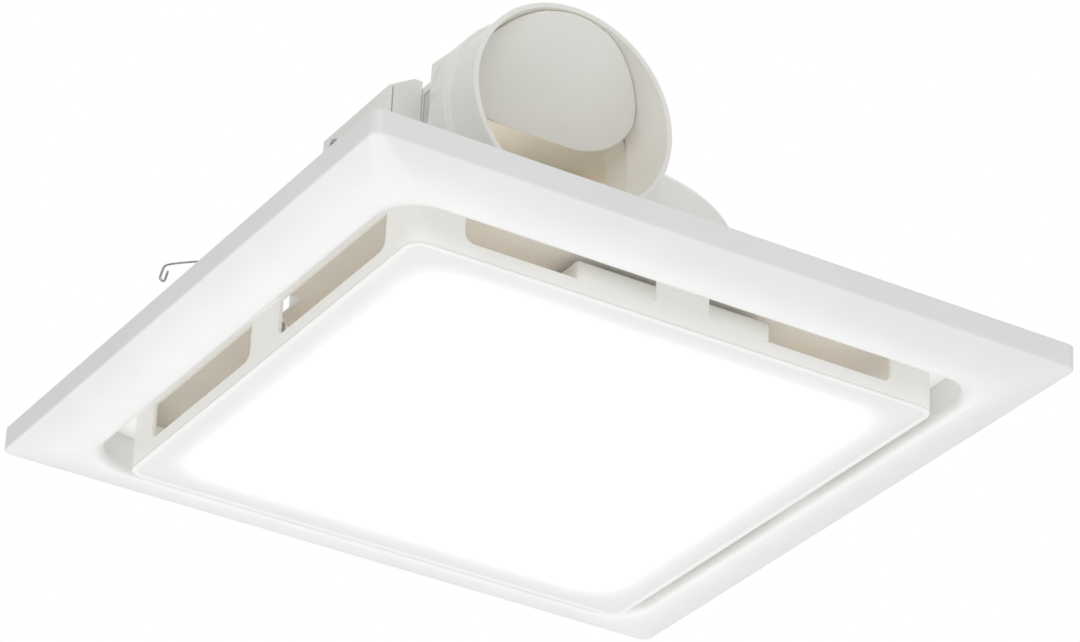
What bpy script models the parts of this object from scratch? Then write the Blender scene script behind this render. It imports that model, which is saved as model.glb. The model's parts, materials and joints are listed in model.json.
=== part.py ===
"""Square ceiling exhaust fan with a lit panel, for a round duct.

The frame: +Z points up into the ceiling void, -Y towards the duct, and -X towards the junction box.
The origin is the centre of the ceiling cut-out, in the plane of the fascia rim's back edge.
All sizes are in metres.
"""

import math

import bmesh
import bpy
from mathutils import Matrix, Vector

# Clearances shared by every piece
FIT_GAP = 0.0003
RUN_GAP = 0.0006
CUT_OVERRUN = 0.002

# Fascia: the white surround and its rolled opening
FASCIA_OVERHANG = 0.008
FASCIA_BORDER = 0.0312
FASCIA_RIM_HEIGHT = 0.0117
FASCIA_DEPTH = 0.0197
FASCIA_WALL = 0.0025
FASCIA_CORNER = 0.005
FASCIA_EDGE_ROUND = 0.0012
OPENING_CORNER = 0.0216
LIP_RADIUS = 0.0046
UNDERSIDE_SHARES = (0.0, 0.15, 0.38, 0.66, 1.0)
LIP_STEPS = 4
CORNER_STEPS = 5

# Light tray: the slotted box that carries the lamp
TRAY_AIR_GAP = 0.0137
TRAY_CORNER = 0.008
TRAY_DEPTH = 0.0274
TRAY_WALL = 0.0018
TRAY_TOP = 0.0005
TRAY_FLANGE_THICKNESS = 0.0016
TRAY_LIP_WIDTH = 0.0012
TRAY_LIP_HEIGHT = 0.0010
SLOT_END_MARGIN = 0.02505
SLOT_WEB = 0.0267
SLOT_SILL = 0.0072
SLOT_HEAD = 0.0004
SLOT_CORNER = 0.0045
SLOT_CORNER_STEPS = 4
POST_RADIUS = 0.0042
POST_INSET = 0.0057
TRAY_SCREW_RADIUS = 0.0011
TRAY_SCREW_HEAD_RADIUS = 0.0025
TRAY_SCREW_HEAD_HEIGHT = 0.0014
TRAY_SCREW_LENGTH = 0.0042
HANGER_PIN_RADIUS = 0.0026
HANGER_PIN_LENGTH = 0.0088
HANGER_PIN_DROP = 0.009

# Lamp: opal diffuser, light guide, reflector, edge strips, back plate and driver
DIFFUSER_THICKNESS = 0.0020
DIFFUSER_STEP = 0.0013
GUIDE_THICKNESS = 0.0030
GUIDE_MARGIN = 0.0053
GUIDE_CHAMFER = 0.012
REFLECTOR_THICKNESS = 0.0004
STRIP_END_MARGIN = 0.008
STRIP_BOARD = 0.0010
STRIP_CHIP_DEPTH = 0.0014
STRIP_CHIP_SHARE = 0.42
CHIP_PLACE_SHARE = 0.5
STRIP_CHIPS = 16
STRIP_SETBACK = 0.0008
BACK_PLATE_THICKNESS = 0.0008
BACK_PLATE_HOLE = 0.0016
DRIVER_LENGTH = 0.1005
DRIVER_OFFSET = 0.00365
DRIVER_FRONT_GAP = 0.0113
DRIVER_DEPTH = 0.0400
DRIVER_HEIGHT = 0.0180
DRIVER_EDGE = 0.0015
DRIVER_EAR_LENGTH = 0.0095
DRIVER_EAR_WIDTH = 0.0160
DRIVER_EAR_THICKNESS = 0.0016
DRIVER_EAR_OVERLAP = 0.0045
DRIVER_SCREW_RADIUS = 0.0015
DRIVER_SCREW_HEAD_RADIUS = 0.0030
DRIVER_SCREW_HEAD_HEIGHT = 0.0018

# Base: the body plate that is clipped up into the cut-out, and its foam gasket
CUTOUT_WALL_GAP = 0.008
BASE_FLANGE_WIDTH = 0.0176
BASE_FLANGE_CORNER = 0.016
BASE_FLANGE_THICKNESS = 0.0020
BASE_FLANGE_DROP = 0.0004
BASE_NECK_CLEARANCE = 0.0006
BASE_NECK_CORNER = 0.012
BASE_WALL = 0.0020
BASE_WALL_GAP = 0.033
BASE_WALL_CORNER = 0.009
BASE_WALL_TOP = 0.0080
BASE_PLATE_THICKNESS = 0.0025
BASE_PLATE_TOP = 0.0048
GASKET_WIDTH = 0.0150
GASKET_THICKNESS = 0.0017
GASKET_MARGIN = 0.0010
GASKET_CORNER_SHARE = 0.2
BASE_CORNER_STEPS = 4

# Inlet ring: the bell mouth below the impeller
INLET_OVERLAP = 0.016
INLET_BELL = 0.012
INLET_WALL = 0.0015
INLET_FLANGE = 0.006
INLET_STEPS = 4
INLET_SEGMENTS = 36

# Scroll housing
SCROLL_TOP = 0.0783
SCROLL_WALL = 0.0020
SCROLL_EDGE = 0.0060
SCROLL_EDGE_STEPS = 3
SCROLL_TONGUE_GAP = 0.014
SCROLL_GROWTH = 0.020
SCROLL_GROWTH_POWER = 1.6
SCROLL_STEPS = 38
OUTLET_TRIM = 0.0002
OUTLET_END = -0.108
EAR_RADIUS = 0.0062
EAR_HEIGHT = 0.0035
EAR_REACH = 0.0045
EAR_TURN_SHARES = (0.14, 0.42, 0.68, 0.93)
EAR_SEGMENTS = 12
HOUSING_SCREW_RADIUS = 0.0016
HOUSING_SCREW_HEAD_RADIUS = 0.0032
HOUSING_SCREW_HEAD_HEIGHT = 0.0020
MOTOR_HOLE_GAP = 0.004

# Duct collar, damper flap and its pin
SPIGOT_RADIUS = 0.0501
SPIGOT_WALL = 0.0020
SPIGOT_RISE = 0.0086
SPIGOT_END = -0.1433
SPIGOT_RING = 0.0006
SPIGOT_RING_LENGTH = 0.0030
BEAD_RISE = 0.0031
COLLAR_STEP = 0.0006
BEAD_END = -0.1215
COLLAR_SEGMENTS = 36
DUCT_TURN_SHARE = 0.5
COLLAR_BEAD_ROUND = 0.0012
DAMPER_THICKNESS = 0.0016
DAMPER_PLACE = -0.1247
DAMPER_PIVOT_RISE = 0.0252
DAMPER_LEAN = math.radians(36)
DAMPER_FRONT = 0.0260
DAMPER_REAR = 0.0283
DAMPER_SIDE_GAP = 0.0011
DAMPER_LARGEST_INSET = 0.0051
DAMPER_CORNER_WIDTH = 0.0260
DAMPER_CORNER_LENGTH = 0.0200
DAMPER_SIDE_STEPS = 8
DAMPER_CORNER_STEPS = 7
DAMPER_SLEEVE_RADIUS = 0.0027
DAMPER_BORE_RADIUS = 0.0015
DAMPER_PIN_RADIUS = 0.0012
DAMPER_BOSS_RADIUS = 0.0042
DAMPER_BOSS_LENGTH = 0.0036
DAMPER_NOTCH = 0.0052
BORE_BITE_SHARE = 0.25

# Impeller
IMPELLER_RADIUS = 0.080
IMPELLER_BLADE_DEPTH = 0.013
IMPELLER_BOTTOM = 0.0145
IMPELLER_TOP = 0.0663
IMPELLER_RING = 0.0016
IMPELLER_PLATE = 0.0018
IMPELLER_DISH_FLARE = 0.006
IMPELLER_DISH_GAP = 0.003
IMPELLER_DISH_FLOOR = 0.0413
HUB_RADIUS = 0.009
HUB_TOP = 0.0430
HUB_BOTTOM = 0.0338
BLADE_COUNT = 36
BLADE_THICKNESS = 0.0012
BLADE_SWEEP = math.radians(11)
BLADE_SWEEP_POWER = 1.9
BLADE_STATIONS = 3
BLADE_BITE = 0.0005
IMPELLER_SEGMENTS = 40
DISH_LEAN_SHARE = 0.9

# Motor, its plate, bushes and bolts
MOTOR_RADIUS = 0.037
MOTOR_WALL = 0.0015
MOTOR_BOTTOM = 0.0435
MOTOR_SPLIT = 0.0580
MOTOR_EDGE = 0.0013
MOTOR_END_HOLE = 0.0052
MOTOR_SEGMENTS = 22
BEARING_RADIUS = 0.0080
BEARING_HEIGHT = 0.0060
BEARING_SEAT_WALL = 0.0020
BEARING_SEGMENTS = 16
STATOR_SEAT_GAP = 0.0004
STATOR_DEPTH = 0.0171
STATOR_BOTTOM = 0.0520
STATOR_TOP = 0.0640
STATOR_TEETH = 12
STATOR_SLOT_SHARE = 0.45
STATOR_YOKE = 0.0070
WINDING_DEPTH = 0.0105
WINDING_INSET = 0.0041
WINDING_HEIGHT = 0.0048
ROTOR_AIR_GAP = 0.0006
SHAFT_RADIUS = 0.0040
SHAFT_THREAD_RADIUS = 0.0030
SHAFT_BOTTOM = 0.0262
SHAFT_SEGMENTS = 12
NUT_SEGMENTS = 12
NUT_RADIUS = 0.0060
NUT_HEIGHT = 0.0045
MOTOR_PLATE_MARGIN = 0.006
MOTOR_PLATE_HOLE = 0.010
MOTOR_PLATE_THICKNESS = 0.0015
BUSH_MARGIN = 0.0005
BOLT_RADIUS = 0.0015
BOLT_HEAD_RADIUS = 0.0032
BOLT_HEAD_HEIGHT = 0.0022
BUSH_RADIUS = 0.0055
BUSH_NECK = 0.0029
BUSH_FLANGE = 0.0018
BUSH_SEGMENTS = 12
BOLT_ANGLES = (math.radians(90), math.radians(210), math.radians(330))

# Junction box on the housing's left wall, with what it holds
BOX_FRONT = -0.096
BOX_BACK = -0.034
BOX_DEPTH = 0.0140
BOX_BOTTOM = 0.030
BOX_TOP_OUTER = 0.0718
BOX_TOP_SLOPE = 0.0058
BOX_WALL = 0.0016
BOX_COVER_THICKNESS = 0.0016
BOX_COVER_MARGIN = 0.0004
BOX_SHOULDER_SHARE = 0.3
BLOCK_LENGTH = 0.034
BLOCK_DEPTH = 0.0080
BLOCK_HEIGHT = 0.013
BLOCK_POLES = 3
BLOCK_ENTRY = 0.0042
BLOCK_BOTTOM = 0.044
BLOCK_BACK = -0.050
POLE_MIDDLE_SHARE = 0.5
GLAND_RADIUS = 0.0050
GLAND_NECK = 0.0038
GLAND_BORE = 0.0026
GLAND_HEIGHT = 0.052
GLAND_LENGTH = 0.009
GLAND_INNER_LENGTH = 0.0025
GLAND_SEGMENTS = 14
GLAND_NUT_SHARE = 0.7
COVER_SCREW_RADIUS = 0.0013
COVER_SCREW_HEAD_RADIUS = 0.0026
COVER_SCREW_HEAD_HEIGHT = 0.0014
COVER_SCREW_DROP = 0.0078
COVER_SCREW_PLACE = -0.046
COVER_POST_RADIUS = 0.0034
COVER_EDGE_SHARE = 1 / 3

# Run capacitor on the base plate
CAPACITOR_SIDE_GAP = 0.035
CAPACITOR_BACK_GAP = 0.039
CAPACITOR_LENGTH = 0.037
CAPACITOR_WIDTH = 0.017
CAPACITOR_HEIGHT = 0.028
CAPACITOR_EDGE = 0.0015
CAPACITOR_TAB_LENGTH = 0.010
CAPACITOR_TAB_THICKNESS = 0.0020
CAPACITOR_TAB_INSET = 0.0030
CAPACITOR_TAB_OVERLAP = 0.0045

# Spring clips, left and right, that press on the back of the ceiling
CLIP_PIVOT_INSET = 0.004
CLIP_PIVOT_Z = 0.0295
CLIP_PIVOT_Y = 0.0205
CLIP_SHEET = 0.0012
CLIP_WIDTH = 0.0156
CLIP_RISER_INSET = 0.0098
CLIP_FOOT_INSET = 0.0024
CLIP_EAR_DROP = 0.008
CLIP_EAR_INSET = 0.0004
CLIP_TOP_RISE = 0.0042
CLIP_PIN_RADIUS = 0.0015
CLIP_PIN_HEAD = 0.0028
CLIP_PIN_HEAD_LENGTH = 0.0011
CLIP_PIN_SEGMENTS = 12
CLIP_WIRE_RADIUS = 0.0007
CLIP_COIL_RADIUS = 0.0028
CLIP_COIL_TURNS = 3
CLIP_COIL_POINTS = 10
CLIP_COIL_SPACE = 0.00055
CLIP_TAIL_LENGTH = 0.0055
CLIP_ARM_SLOPE = math.radians(22)
CLIP_ARM_SHORT = 0.0021
CLIP_EYE_LENGTH = 0.0075
CLIP_EYE_LEAN = math.radians(13)
CLIP_EYE_RADIUS = 0.0013
CLIP_EYE_STEPS = 6
CLIP_EYE_RETURN = 0.0066

# Pull springs, left and right, that hold the fascia up and let it hang
PULL_INSET = 0.0061
PULL_WIRE_RADIUS = 0.0008
PULL_COIL_RADIUS = 0.0038
PULL_COIL_TURNS = 3
LAST_TURN_SHARE = 0.5
PULL_COIL_POINTS = 9
PULL_COIL_SPACE = 0.0005
PULL_LEG_TOP = 0.048
PULL_LEG_SPREAD = 0.0102
PULL_HOOK_REACH = 0.0042
PULL_HOOK_DROP = 0.0020
PULL_SLOT_LENGTH = 0.0250
PULL_SLOT_WIDTH = 0.0110

FULL_TURN = 2 * math.pi
THREE_QUARTER_TURN = math.radians(270)
SCREW_SEGMENTS = 8
HEAD_CROWN_SHARE = 0.7
SMOOTH_ANGLE = math.radians(32)
EDGE_STEPS = 2
WIRE_BEVEL_RESOLUTION = 1

# Heights and half sizes that several pieces share
scroll_start = IMPELLER_RADIUS + SCROLL_TONGUE_GAP
scroll_end = scroll_start + SCROLL_GROWTH
base_wall_half = scroll_end + BASE_WALL_GAP
cutout_half = base_wall_half + CUTOUT_WALL_GAP
base_neck_half = cutout_half - BASE_NECK_CLEARANCE
base_flange_half = base_neck_half + BASE_FLANGE_WIDTH
fascia_half = base_flange_half + FASCIA_OVERHANG
opening_half = fascia_half - FASCIA_BORDER
tray_half = opening_half - TRAY_AIR_GAP
tray_inner_half = tray_half - TRAY_WALL
tray_flange_bottom = TRAY_TOP - TRAY_FLANGE_THICKNESS
tray_flange_half = opening_half + FASCIA_WALL
fascia_upstand_top = tray_flange_bottom - FIT_GAP
diffuser_top = -TRAY_DEPTH + DIFFUSER_THICKNESS
guide_bottom = diffuser_top + FIT_GAP
guide_top = guide_bottom + GUIDE_THICKNESS
reflector_bottom = guide_top + FIT_GAP
reflector_top = reflector_bottom + REFLECTOR_THICKNESS
back_plate_bottom = reflector_top + FIT_GAP
back_plate_top = back_plate_bottom + BACK_PLATE_THICKNESS
driver_bottom = back_plate_top + FIT_GAP
driver_left = DRIVER_OFFSET - DRIVER_LENGTH / 2
driver_right = DRIVER_OFFSET + DRIVER_LENGTH / 2
driver_front = -tray_inner_half + DRIVER_FRONT_GAP
guide_half = tray_inner_half - GUIDE_MARGIN
strip_half = guide_half - STRIP_END_MARGIN
post_offset = tray_half - POST_INSET
base_wall_inner = base_wall_half - BASE_WALL
base_plate_bottom = BASE_PLATE_TOP - BASE_PLATE_THICKNESS
base_neck_inner = base_neck_half - BASE_WALL
base_step_bottom = TRAY_TOP + FIT_GAP
base_step_top = base_step_bottom + BASE_WALL
scroll_foot = BASE_PLATE_TOP + FIT_GAP
scroll_ceiling = SCROLL_TOP - SCROLL_WALL
outlet_width = SPIGOT_RADIUS * 2 - OUTLET_TRIM
outlet_left = -scroll_end
outlet_right = outlet_left + outlet_width
duct_x = (outlet_left + outlet_right) / 2
spigot_height = SPIGOT_RADIUS + SPIGOT_RISE
spigot_bore = SPIGOT_RADIUS - SPIGOT_WALL
bead_radius = SPIGOT_RADIUS + BEAD_RISE
damper_largest_half = spigot_bore - DAMPER_LARGEST_INSET
pivot_height = spigot_height + DAMPER_PIVOT_RISE
pivot_wall_half = math.sqrt(spigot_bore ** 2 - DAMPER_PIVOT_RISE ** 2)
inlet_throat = IMPELLER_RADIUS - INLET_OVERLAP
impeller_inner = IMPELLER_RADIUS - IMPELLER_BLADE_DEPTH
motor_hole_radius = MOTOR_RADIUS + MOTOR_HOLE_GAP
stator_radius = MOTOR_RADIUS - MOTOR_WALL - STATOR_SEAT_GAP
stator_bore = stator_radius - STATOR_DEPTH
winding_outer = stator_radius - WINDING_INSET
winding_inner = winding_outer - WINDING_DEPTH
dish_floor_radius = MOTOR_RADIUS + IMPELLER_DISH_GAP
dish_top_radius = dish_floor_radius + IMPELLER_DISH_FLARE
bolt_circle = motor_hole_radius + BUSH_RADIUS + BUSH_MARGIN
motor_plate_radius = bolt_circle + MOTOR_PLATE_MARGIN
motor_plate_bottom = SCROLL_TOP + FIT_GAP + BUSH_FLANGE + FIT_GAP
motor_plate_top = motor_plate_bottom + MOTOR_PLATE_THICKNESS
motor_top = motor_plate_bottom - FIT_GAP
bearing_bore = SHAFT_RADIUS + FIT_GAP
hanger_height = TRAY_TOP - HANGER_PIN_DROP
pull_x = tray_half - PULL_INSET
box_top_inner = BOX_TOP_OUTER + BOX_TOP_SLOPE
cover_screw_height = BOX_TOP_OUTER - COVER_SCREW_DROP
clip_pivot_x = base_wall_half - CLIP_PIVOT_INSET
clip_riser_x = base_wall_half - CLIP_RISER_INSET
clip_foot_x = base_wall_half - CLIP_FOOT_INSET
clip_arm_reach = fascia_half - CLIP_ARM_SHORT


def rounded_square(half, radius, steps, z):
    """The corner points of a rounded square, counter-clockwise, with steps + 1 points on each corner arc."""
    centre = half - radius
    quarter = math.pi / 2
    points = []
    for corner in range(4):
        for step in range(steps + 1):
            angle = quarter * (corner + step / steps)
            x = centre * (1 if corner in (0, 3) else -1) + radius * math.cos(angle)
            y = centre * (1 if corner in (0, 1) else -1) + radius * math.sin(angle)
            points.append((x, y, z))
    return points


def circle(radius, z, segments, centre=(0, 0)):
    """The points of a level circle, counter-clockwise seen from above."""
    turns = [FULL_TURN * step / segments for step in range(segments)]
    return [(centre[0] + radius * math.cos(turn), centre[1] + radius * math.sin(turn), z) for turn in turns]


def mesh_object(name, vertices, faces, material):
    """A closed mesh as an object, with its faces turned outwards and its round sides smooth."""
    mesh = bpy.data.meshes.new(name)
    mesh.from_pydata([tuple(point) for point in vertices], [], faces)
    shell = bmesh.new()
    shell.from_mesh(mesh)
    bmesh.ops.recalc_face_normals(shell, faces=shell.faces)
    shell.to_mesh(mesh)
    shell.free()
    mesh.shade_smooth()
    mesh.set_sharp_from_angle(angle=SMOOTH_ANGLE)
    if material is not None:
        mesh.materials.append(material)
    made = bpy.data.objects.new(name, mesh)
    bpy.context.scene.collection.objects.link(made)
    return made


def loft_faces(count, rings, ring_closed):
    """Quads between following rings of equal count, with end caps unless the last ring meets the first."""
    faces = []
    for ring in range(rings if ring_closed else rings - 1):
        this = ring * count
        after = (ring + 1) % rings * count
        for step in range(count):
            follow = (step + 1) % count
            faces.append((this + step, this + follow, after + follow, after + step))
    if not ring_closed:
        faces.append(tuple(reversed(range(count))))
        faces.append(tuple(range((rings - 1) * count, rings * count)))
    return faces


def loft(name, rings, material=None, ring_closed=False):
    """A solid through a list of rings."""
    vertices = [point for ring in rings for point in ring]
    return mesh_object(name, vertices, loft_faces(len(rings[0]), len(rings), ring_closed), material)


def prism(name, outline, low, high, material=None):
    """An outline of (x, y) points drawn up from one height to another."""
    return loft(name, [[(x, y, z) for x, y in outline] for z in (low, high)], material)


def box(name, lows, highs, material=None):
    """A block between two opposite corners."""
    outline = ((lows[0], lows[1]), (highs[0], lows[1]), (highs[0], highs[1]), (lows[0], highs[1]))
    return prism(name, outline, lows[2], highs[2], material)


def lathe(name, profile, segments, material=None, centre=(0, 0), bored=True):
    """A profile of (radius, height) turned about a vertical line: a closed loop round a bore, or a solid."""
    rings = [circle(radius, z, segments, centre) for radius, z in profile]
    return loft(name, rings, material, ring_closed=bored)


def turned(made, matrix):
    """The object with a turn or move put into its mesh."""
    made.data.transform(matrix)
    return made


def set_origin(made, place):
    """Moves the object's origin to a place in the world and leaves the shape where it is."""
    made.data.transform(Matrix.Translation(-Vector(place)))
    made.location = place


def hide_tool(tool):
    """Marks a cutter or a joined piece as a helper."""
    tool.hide_render = True
    tool.display_type = "WIRE"
    return tool


def cut(made, *tools):
    """Takes the tools away from the object."""
    for tool in tools:
        modifier = made.modifiers.new("cut " + tool.name, "BOOLEAN")
        modifier.operation = "DIFFERENCE"
        modifier.object = hide_tool(tool)
    return made


def join(made, *tools):
    """Grows the tools onto the object."""
    for tool in tools:
        modifier = made.modifiers.new("join " + tool.name, "BOOLEAN")
        modifier.operation = "UNION"
        modifier.object = hide_tool(tool)
    return made


def merged(name, pieces):
    """Several separate helper solids as one helper mesh."""
    vertices = []
    faces = []
    for piece in pieces:
        start = len(vertices)
        vertices.extend(vertex.co.copy() for vertex in piece.data.vertices)
        faces.extend(tuple(start + index for index in polygon.vertices) for polygon in piece.data.polygons)
        bpy.data.objects.remove(piece)
    return mesh_object(name, vertices, faces, None)


def bevelled(made, width, segments):
    """Rounds the sharp edges of a block."""
    modifier = made.modifiers.new("rounded edges", "BEVEL")
    modifier.width = width
    modifier.segments = segments
    modifier.limit_method = "ANGLE"
    modifier.angle_limit = SMOOTH_ANGLE
    return made


def wire(name, points, radius, material):
    """One unbroken round wire along a list of points."""
    curve = bpy.data.curves.new(name, "CURVE")
    curve.dimensions = "3D"
    curve.bevel_depth = radius
    curve.bevel_resolution = WIRE_BEVEL_RESOLUTION
    curve.use_fill_caps = True
    spline = curve.splines.new("POLY")
    spline.points.add(len(points) - 1)
    for place, point in zip(spline.points, points):
        place.co = (point[0], point[1], point[2], 1)
    curve.materials.append(material)
    made = bpy.data.objects.new(name, curve)
    bpy.context.scene.collection.objects.link(made)
    return made


def least_self_gap(points, radius, along):
    """The smallest gap between two stretches of a wire that lie more than a given length apart along it."""
    travel = [0.0]
    for start, end in zip(points, points[1:]):
        travel.append(travel[-1] + (Vector(end) - Vector(start)).length)
    gaps = [
        (Vector(one) - Vector(other)).length - 2 * radius
        for index, one in enumerate(points)
        for later, other in enumerate(points)
        if travel[later] - travel[index] > along
    ]
    return min(gaps)


def screw(name, head_radius, head_height, radius, length, place, material):
    """A screw that points down, with its head's seat at the place."""
    x, y, z = place
    profile = (
        (head_radius * HEAD_CROWN_SHARE, z + head_height),
        (head_radius, z + head_height * HEAD_CROWN_SHARE),
        (head_radius, z),
        (radius, z),
        (radius, z - length),
    )
    return lathe(name, profile, SCREW_SEGMENTS, material, (x, y), bored=False)


def make_material(name, colour, roughness, metallic=0.0):
    """A plain surface of one colour."""
    material = bpy.data.materials.new(name)
    material.use_nodes = True
    surface = material.node_tree.nodes["Principled BSDF"]
    surface.inputs["Base Color"].default_value = (*colour, 1)
    surface.inputs["Roughness"].default_value = roughness
    surface.inputs["Metallic"].default_value = metallic
    return material


def fascia_ring(half, z, rim_half, rim_corner, lip_half, lip_corner):
    """A level ring of the fascia: its corner radius blends from the rim's to the opening's."""
    share = min(1, max(0, (rim_half - half) / (rim_half - lip_half)))
    return rounded_square(half, rim_corner + (lip_corner - rim_corner) * share, CORNER_STEPS, z)


def fascia_section(inset, rim_half, lip_half, lip_radius):
    """(half size, height) points of one skin of the fascia, from the rim's back edge to the upstand's top."""
    round_centre = -FASCIA_RIM_HEIGHT + FASCIA_EDGE_ROUND + inset
    lip_low = -FASCIA_DEPTH + inset
    lip_centre = lip_half + lip_radius
    run = rim_half - FASCIA_EDGE_ROUND - lip_centre
    rise = lip_low - round_centre + FASCIA_EDGE_ROUND
    points = [(rim_half, 0), (rim_half, round_centre)]
    for share in UNDERSIDE_SHARES:
        points.append((rim_half - FASCIA_EDGE_ROUND - run * share,
                       round_centre - FASCIA_EDGE_ROUND + rise * math.sin(share * math.pi / 2)))
    for step in range(1, LIP_STEPS + 1):
        turn = step / LIP_STEPS * math.pi / 2
        points.append((lip_centre - lip_radius * math.sin(turn), lip_low + lip_radius * (1 - math.cos(turn))))
    points.append((lip_half, fascia_upstand_top))
    return points


def make_fascia(white):
    """The surround: a plain rim, an underside curving down to a rolled lip, and an upstand behind it."""
    outer = fascia_section(0, fascia_half, opening_half, LIP_RADIUS)
    inner = fascia_section(FASCIA_WALL, fascia_half - FASCIA_WALL, opening_half + FASCIA_WALL,
                           LIP_RADIUS - FASCIA_WALL)
    rings = [fascia_ring(half, z, fascia_half, FASCIA_CORNER, opening_half, OPENING_CORNER)
             for half, z in outer]
    rings += [fascia_ring(half, z, fascia_half - FASCIA_WALL, FASCIA_CORNER - FASCIA_WALL,
                          opening_half + FASCIA_WALL, OPENING_CORNER + FASCIA_WALL)
              for half, z in reversed(inner)]
    return loft("fascia_frame", rings, white, ring_closed=True)


def slot_outline():
    """The (across, height) outline of one slot: square at the top, rounded at its lower corners."""
    low = -TRAY_DEPTH + SLOT_SILL
    high = tray_flange_bottom - SLOT_HEAD
    near = SLOT_WEB / 2
    far = tray_half - SLOT_END_MARGIN
    points = [(far, high), (near, high)]
    for centre, start in ((near + SLOT_CORNER, math.pi), (far - SLOT_CORNER, THREE_QUARTER_TURN)):
        for step in range(SLOT_CORNER_STEPS + 1):
            turn = start + step / SLOT_CORNER_STEPS * math.pi / 2
            points.append((centre + SLOT_CORNER * math.cos(turn),
                           low + SLOT_CORNER + SLOT_CORNER * math.sin(turn)))
    return points


def slot_cutter(side, mirror):
    """A cutter for one slot of one side, drawn through the wall from inside."""
    shallow = tray_inner_half - CUT_OVERRUN
    deep = tray_half + CUT_OVERRUN
    rings = [[(place, mirror * across, z) for across, z in slot_outline()] for place in (shallow, deep)]
    tool = loft("slot", rings)
    return turned(tool, Matrix.Rotation(side * math.pi / 2, 4, "Z"))


def make_light_tray(white):
    """The slotted box: a square wall, a top flange over the fascia's upstand, posts and two hanger pins."""
    flange_corner = OPENING_CORNER + FASCIA_WALL
    inner_corner = TRAY_CORNER - TRAY_WALL
    lip_half = tray_inner_half - TRAY_LIP_WIDTH
    lip_corner = inner_corner - TRAY_LIP_WIDTH
    lip_top = -TRAY_DEPTH + TRAY_LIP_HEIGHT
    sections = (
        (tray_half, TRAY_CORNER, -TRAY_DEPTH),
        (tray_half, TRAY_CORNER, tray_flange_bottom),
        (tray_flange_half, flange_corner, tray_flange_bottom),
        (tray_flange_half, flange_corner, TRAY_TOP),
        (tray_inner_half, inner_corner, TRAY_TOP),
        (tray_inner_half, inner_corner, lip_top),
        (lip_half, lip_corner, lip_top),
        (lip_half, lip_corner, -TRAY_DEPTH),
    )
    rings = [rounded_square(half, corner, CORNER_STEPS, z) for half, corner, z in sections]
    tray = loft("light_tray", rings, white, ring_closed=True)
    posts = []
    holes = []
    for x in (-post_offset, post_offset):
        for y in (-post_offset, post_offset):
            post = circle(POST_RADIUS, 0, SCREW_SEGMENTS, (x, y))
            posts.append(prism("post", [(px, py) for px, py, pz in post],
                               guide_bottom, back_plate_bottom - FIT_GAP))
            hole = circle(TRAY_SCREW_RADIUS + FIT_GAP, 0, SCREW_SEGMENTS, (x, y))
            holes.append(prism("hole", [(px, py) for px, py, pz in hole],
                               back_plate_top - TRAY_SCREW_LENGTH - FIT_GAP, back_plate_top))
    pins = []
    for side in (0, 1):
        pin_end = HANGER_PIN_LENGTH + TRAY_WALL / 2
        pin = lathe("hanger", ((HANGER_PIN_RADIUS, 0), (HANGER_PIN_RADIUS, pin_end)),
                    BUSH_SEGMENTS, bored=False)
        pin = turned(pin, Matrix.Rotation(-math.pi / 2, 4, "Y"))
        pin = turned(pin, Matrix.Translation((tray_inner_half + TRAY_WALL / 2, 0, hanger_height)))
        pins.append(turned(pin, Matrix.Rotation(side * math.pi, 4, "Z")))
    slots = [slot_cutter(side, mirror) for side in range(4) for mirror in (-1, 1)]
    join(tray, merged("tray_posts", posts + pins))
    return cut(tray, merged("tray_cuts", slots + holes))


def make_lamp(parts):
    """The lamp stack that fills the tray's floor, from the diffuser up to the driver."""
    inner_corner = TRAY_CORNER - TRAY_WALL - FIT_GAP
    low_half = tray_inner_half - TRAY_LIP_WIDTH - FIT_GAP
    low_corner = inner_corner - TRAY_LIP_WIDTH
    full_half = tray_inner_half - FIT_GAP
    step = -TRAY_DEPTH + DIFFUSER_STEP
    diffuser = [
        rounded_square(low_half, low_corner, CORNER_STEPS, -TRAY_DEPTH),
        rounded_square(low_half, low_corner, CORNER_STEPS, step),
        rounded_square(full_half, inner_corner, CORNER_STEPS, step),
        rounded_square(full_half, inner_corner, CORNER_STEPS, diffuser_top),
    ]
    loft("diffuser", diffuser, parts["opal"])
    half = guide_half
    short = half - GUIDE_CHAMFER
    plate = [(half, -short), (half, short), (short, half), (-short, half),
             (-half, short), (-half, -short), (-short, -half), (short, -half)]
    prism("light_guide_plate", plate, guide_bottom, guide_top, parts["acrylic"])
    prism("reflector_sheet", plate, reflector_bottom, reflector_top, parts["sheet"])
    for side, name in ((-1, "led_strip_left"), (1, "led_strip_right")):
        make_strip(name, side, parts["board"])
    make_back_plate(parts["aluminium"])
    make_driver(parts["driver"])


def make_strip(name, side, board):
    """A standing edge strip: a thin board with a row of chips that face the guide plate."""
    back = tray_inner_half - STRIP_SETBACK
    face = back - STRIP_BOARD
    tip = face - STRIP_CHIP_DEPTH
    pitch = strip_half * 2 / STRIP_CHIPS
    chip = pitch * STRIP_CHIP_SHARE
    outline = [(back, strip_half), (back, -strip_half), (face, -strip_half)]
    for index in range(STRIP_CHIPS):
        middle = -strip_half + pitch * (index + CHIP_PLACE_SHARE)
        low = middle - chip / 2
        high = middle + chip / 2
        outline += [(face, low), (tip, low), (tip, high), (face, high)]
    outline.append((face, strip_half))
    strip = prism(name, outline, guide_bottom, back_plate_bottom - FIT_GAP, board)
    return turned(strip, Matrix.Rotation(0 if side > 0 else math.pi, 4, "Z"))


def driver_screw_places():
    """Where the driver's two screws go, through the ears at its ends."""
    middle = driver_front + DRIVER_EAR_WIDTH / 2
    return ((driver_left - DRIVER_EAR_LENGTH / 2, middle), (driver_right + DRIVER_EAR_LENGTH / 2, middle))


def round_hole(x, y, radius, low, high):
    """An upright cutter for a round hole."""
    return prism("hole", [(px, py) for px, py, pz in circle(radius, 0, SCREW_SEGMENTS, (x, y))], low, high)


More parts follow.
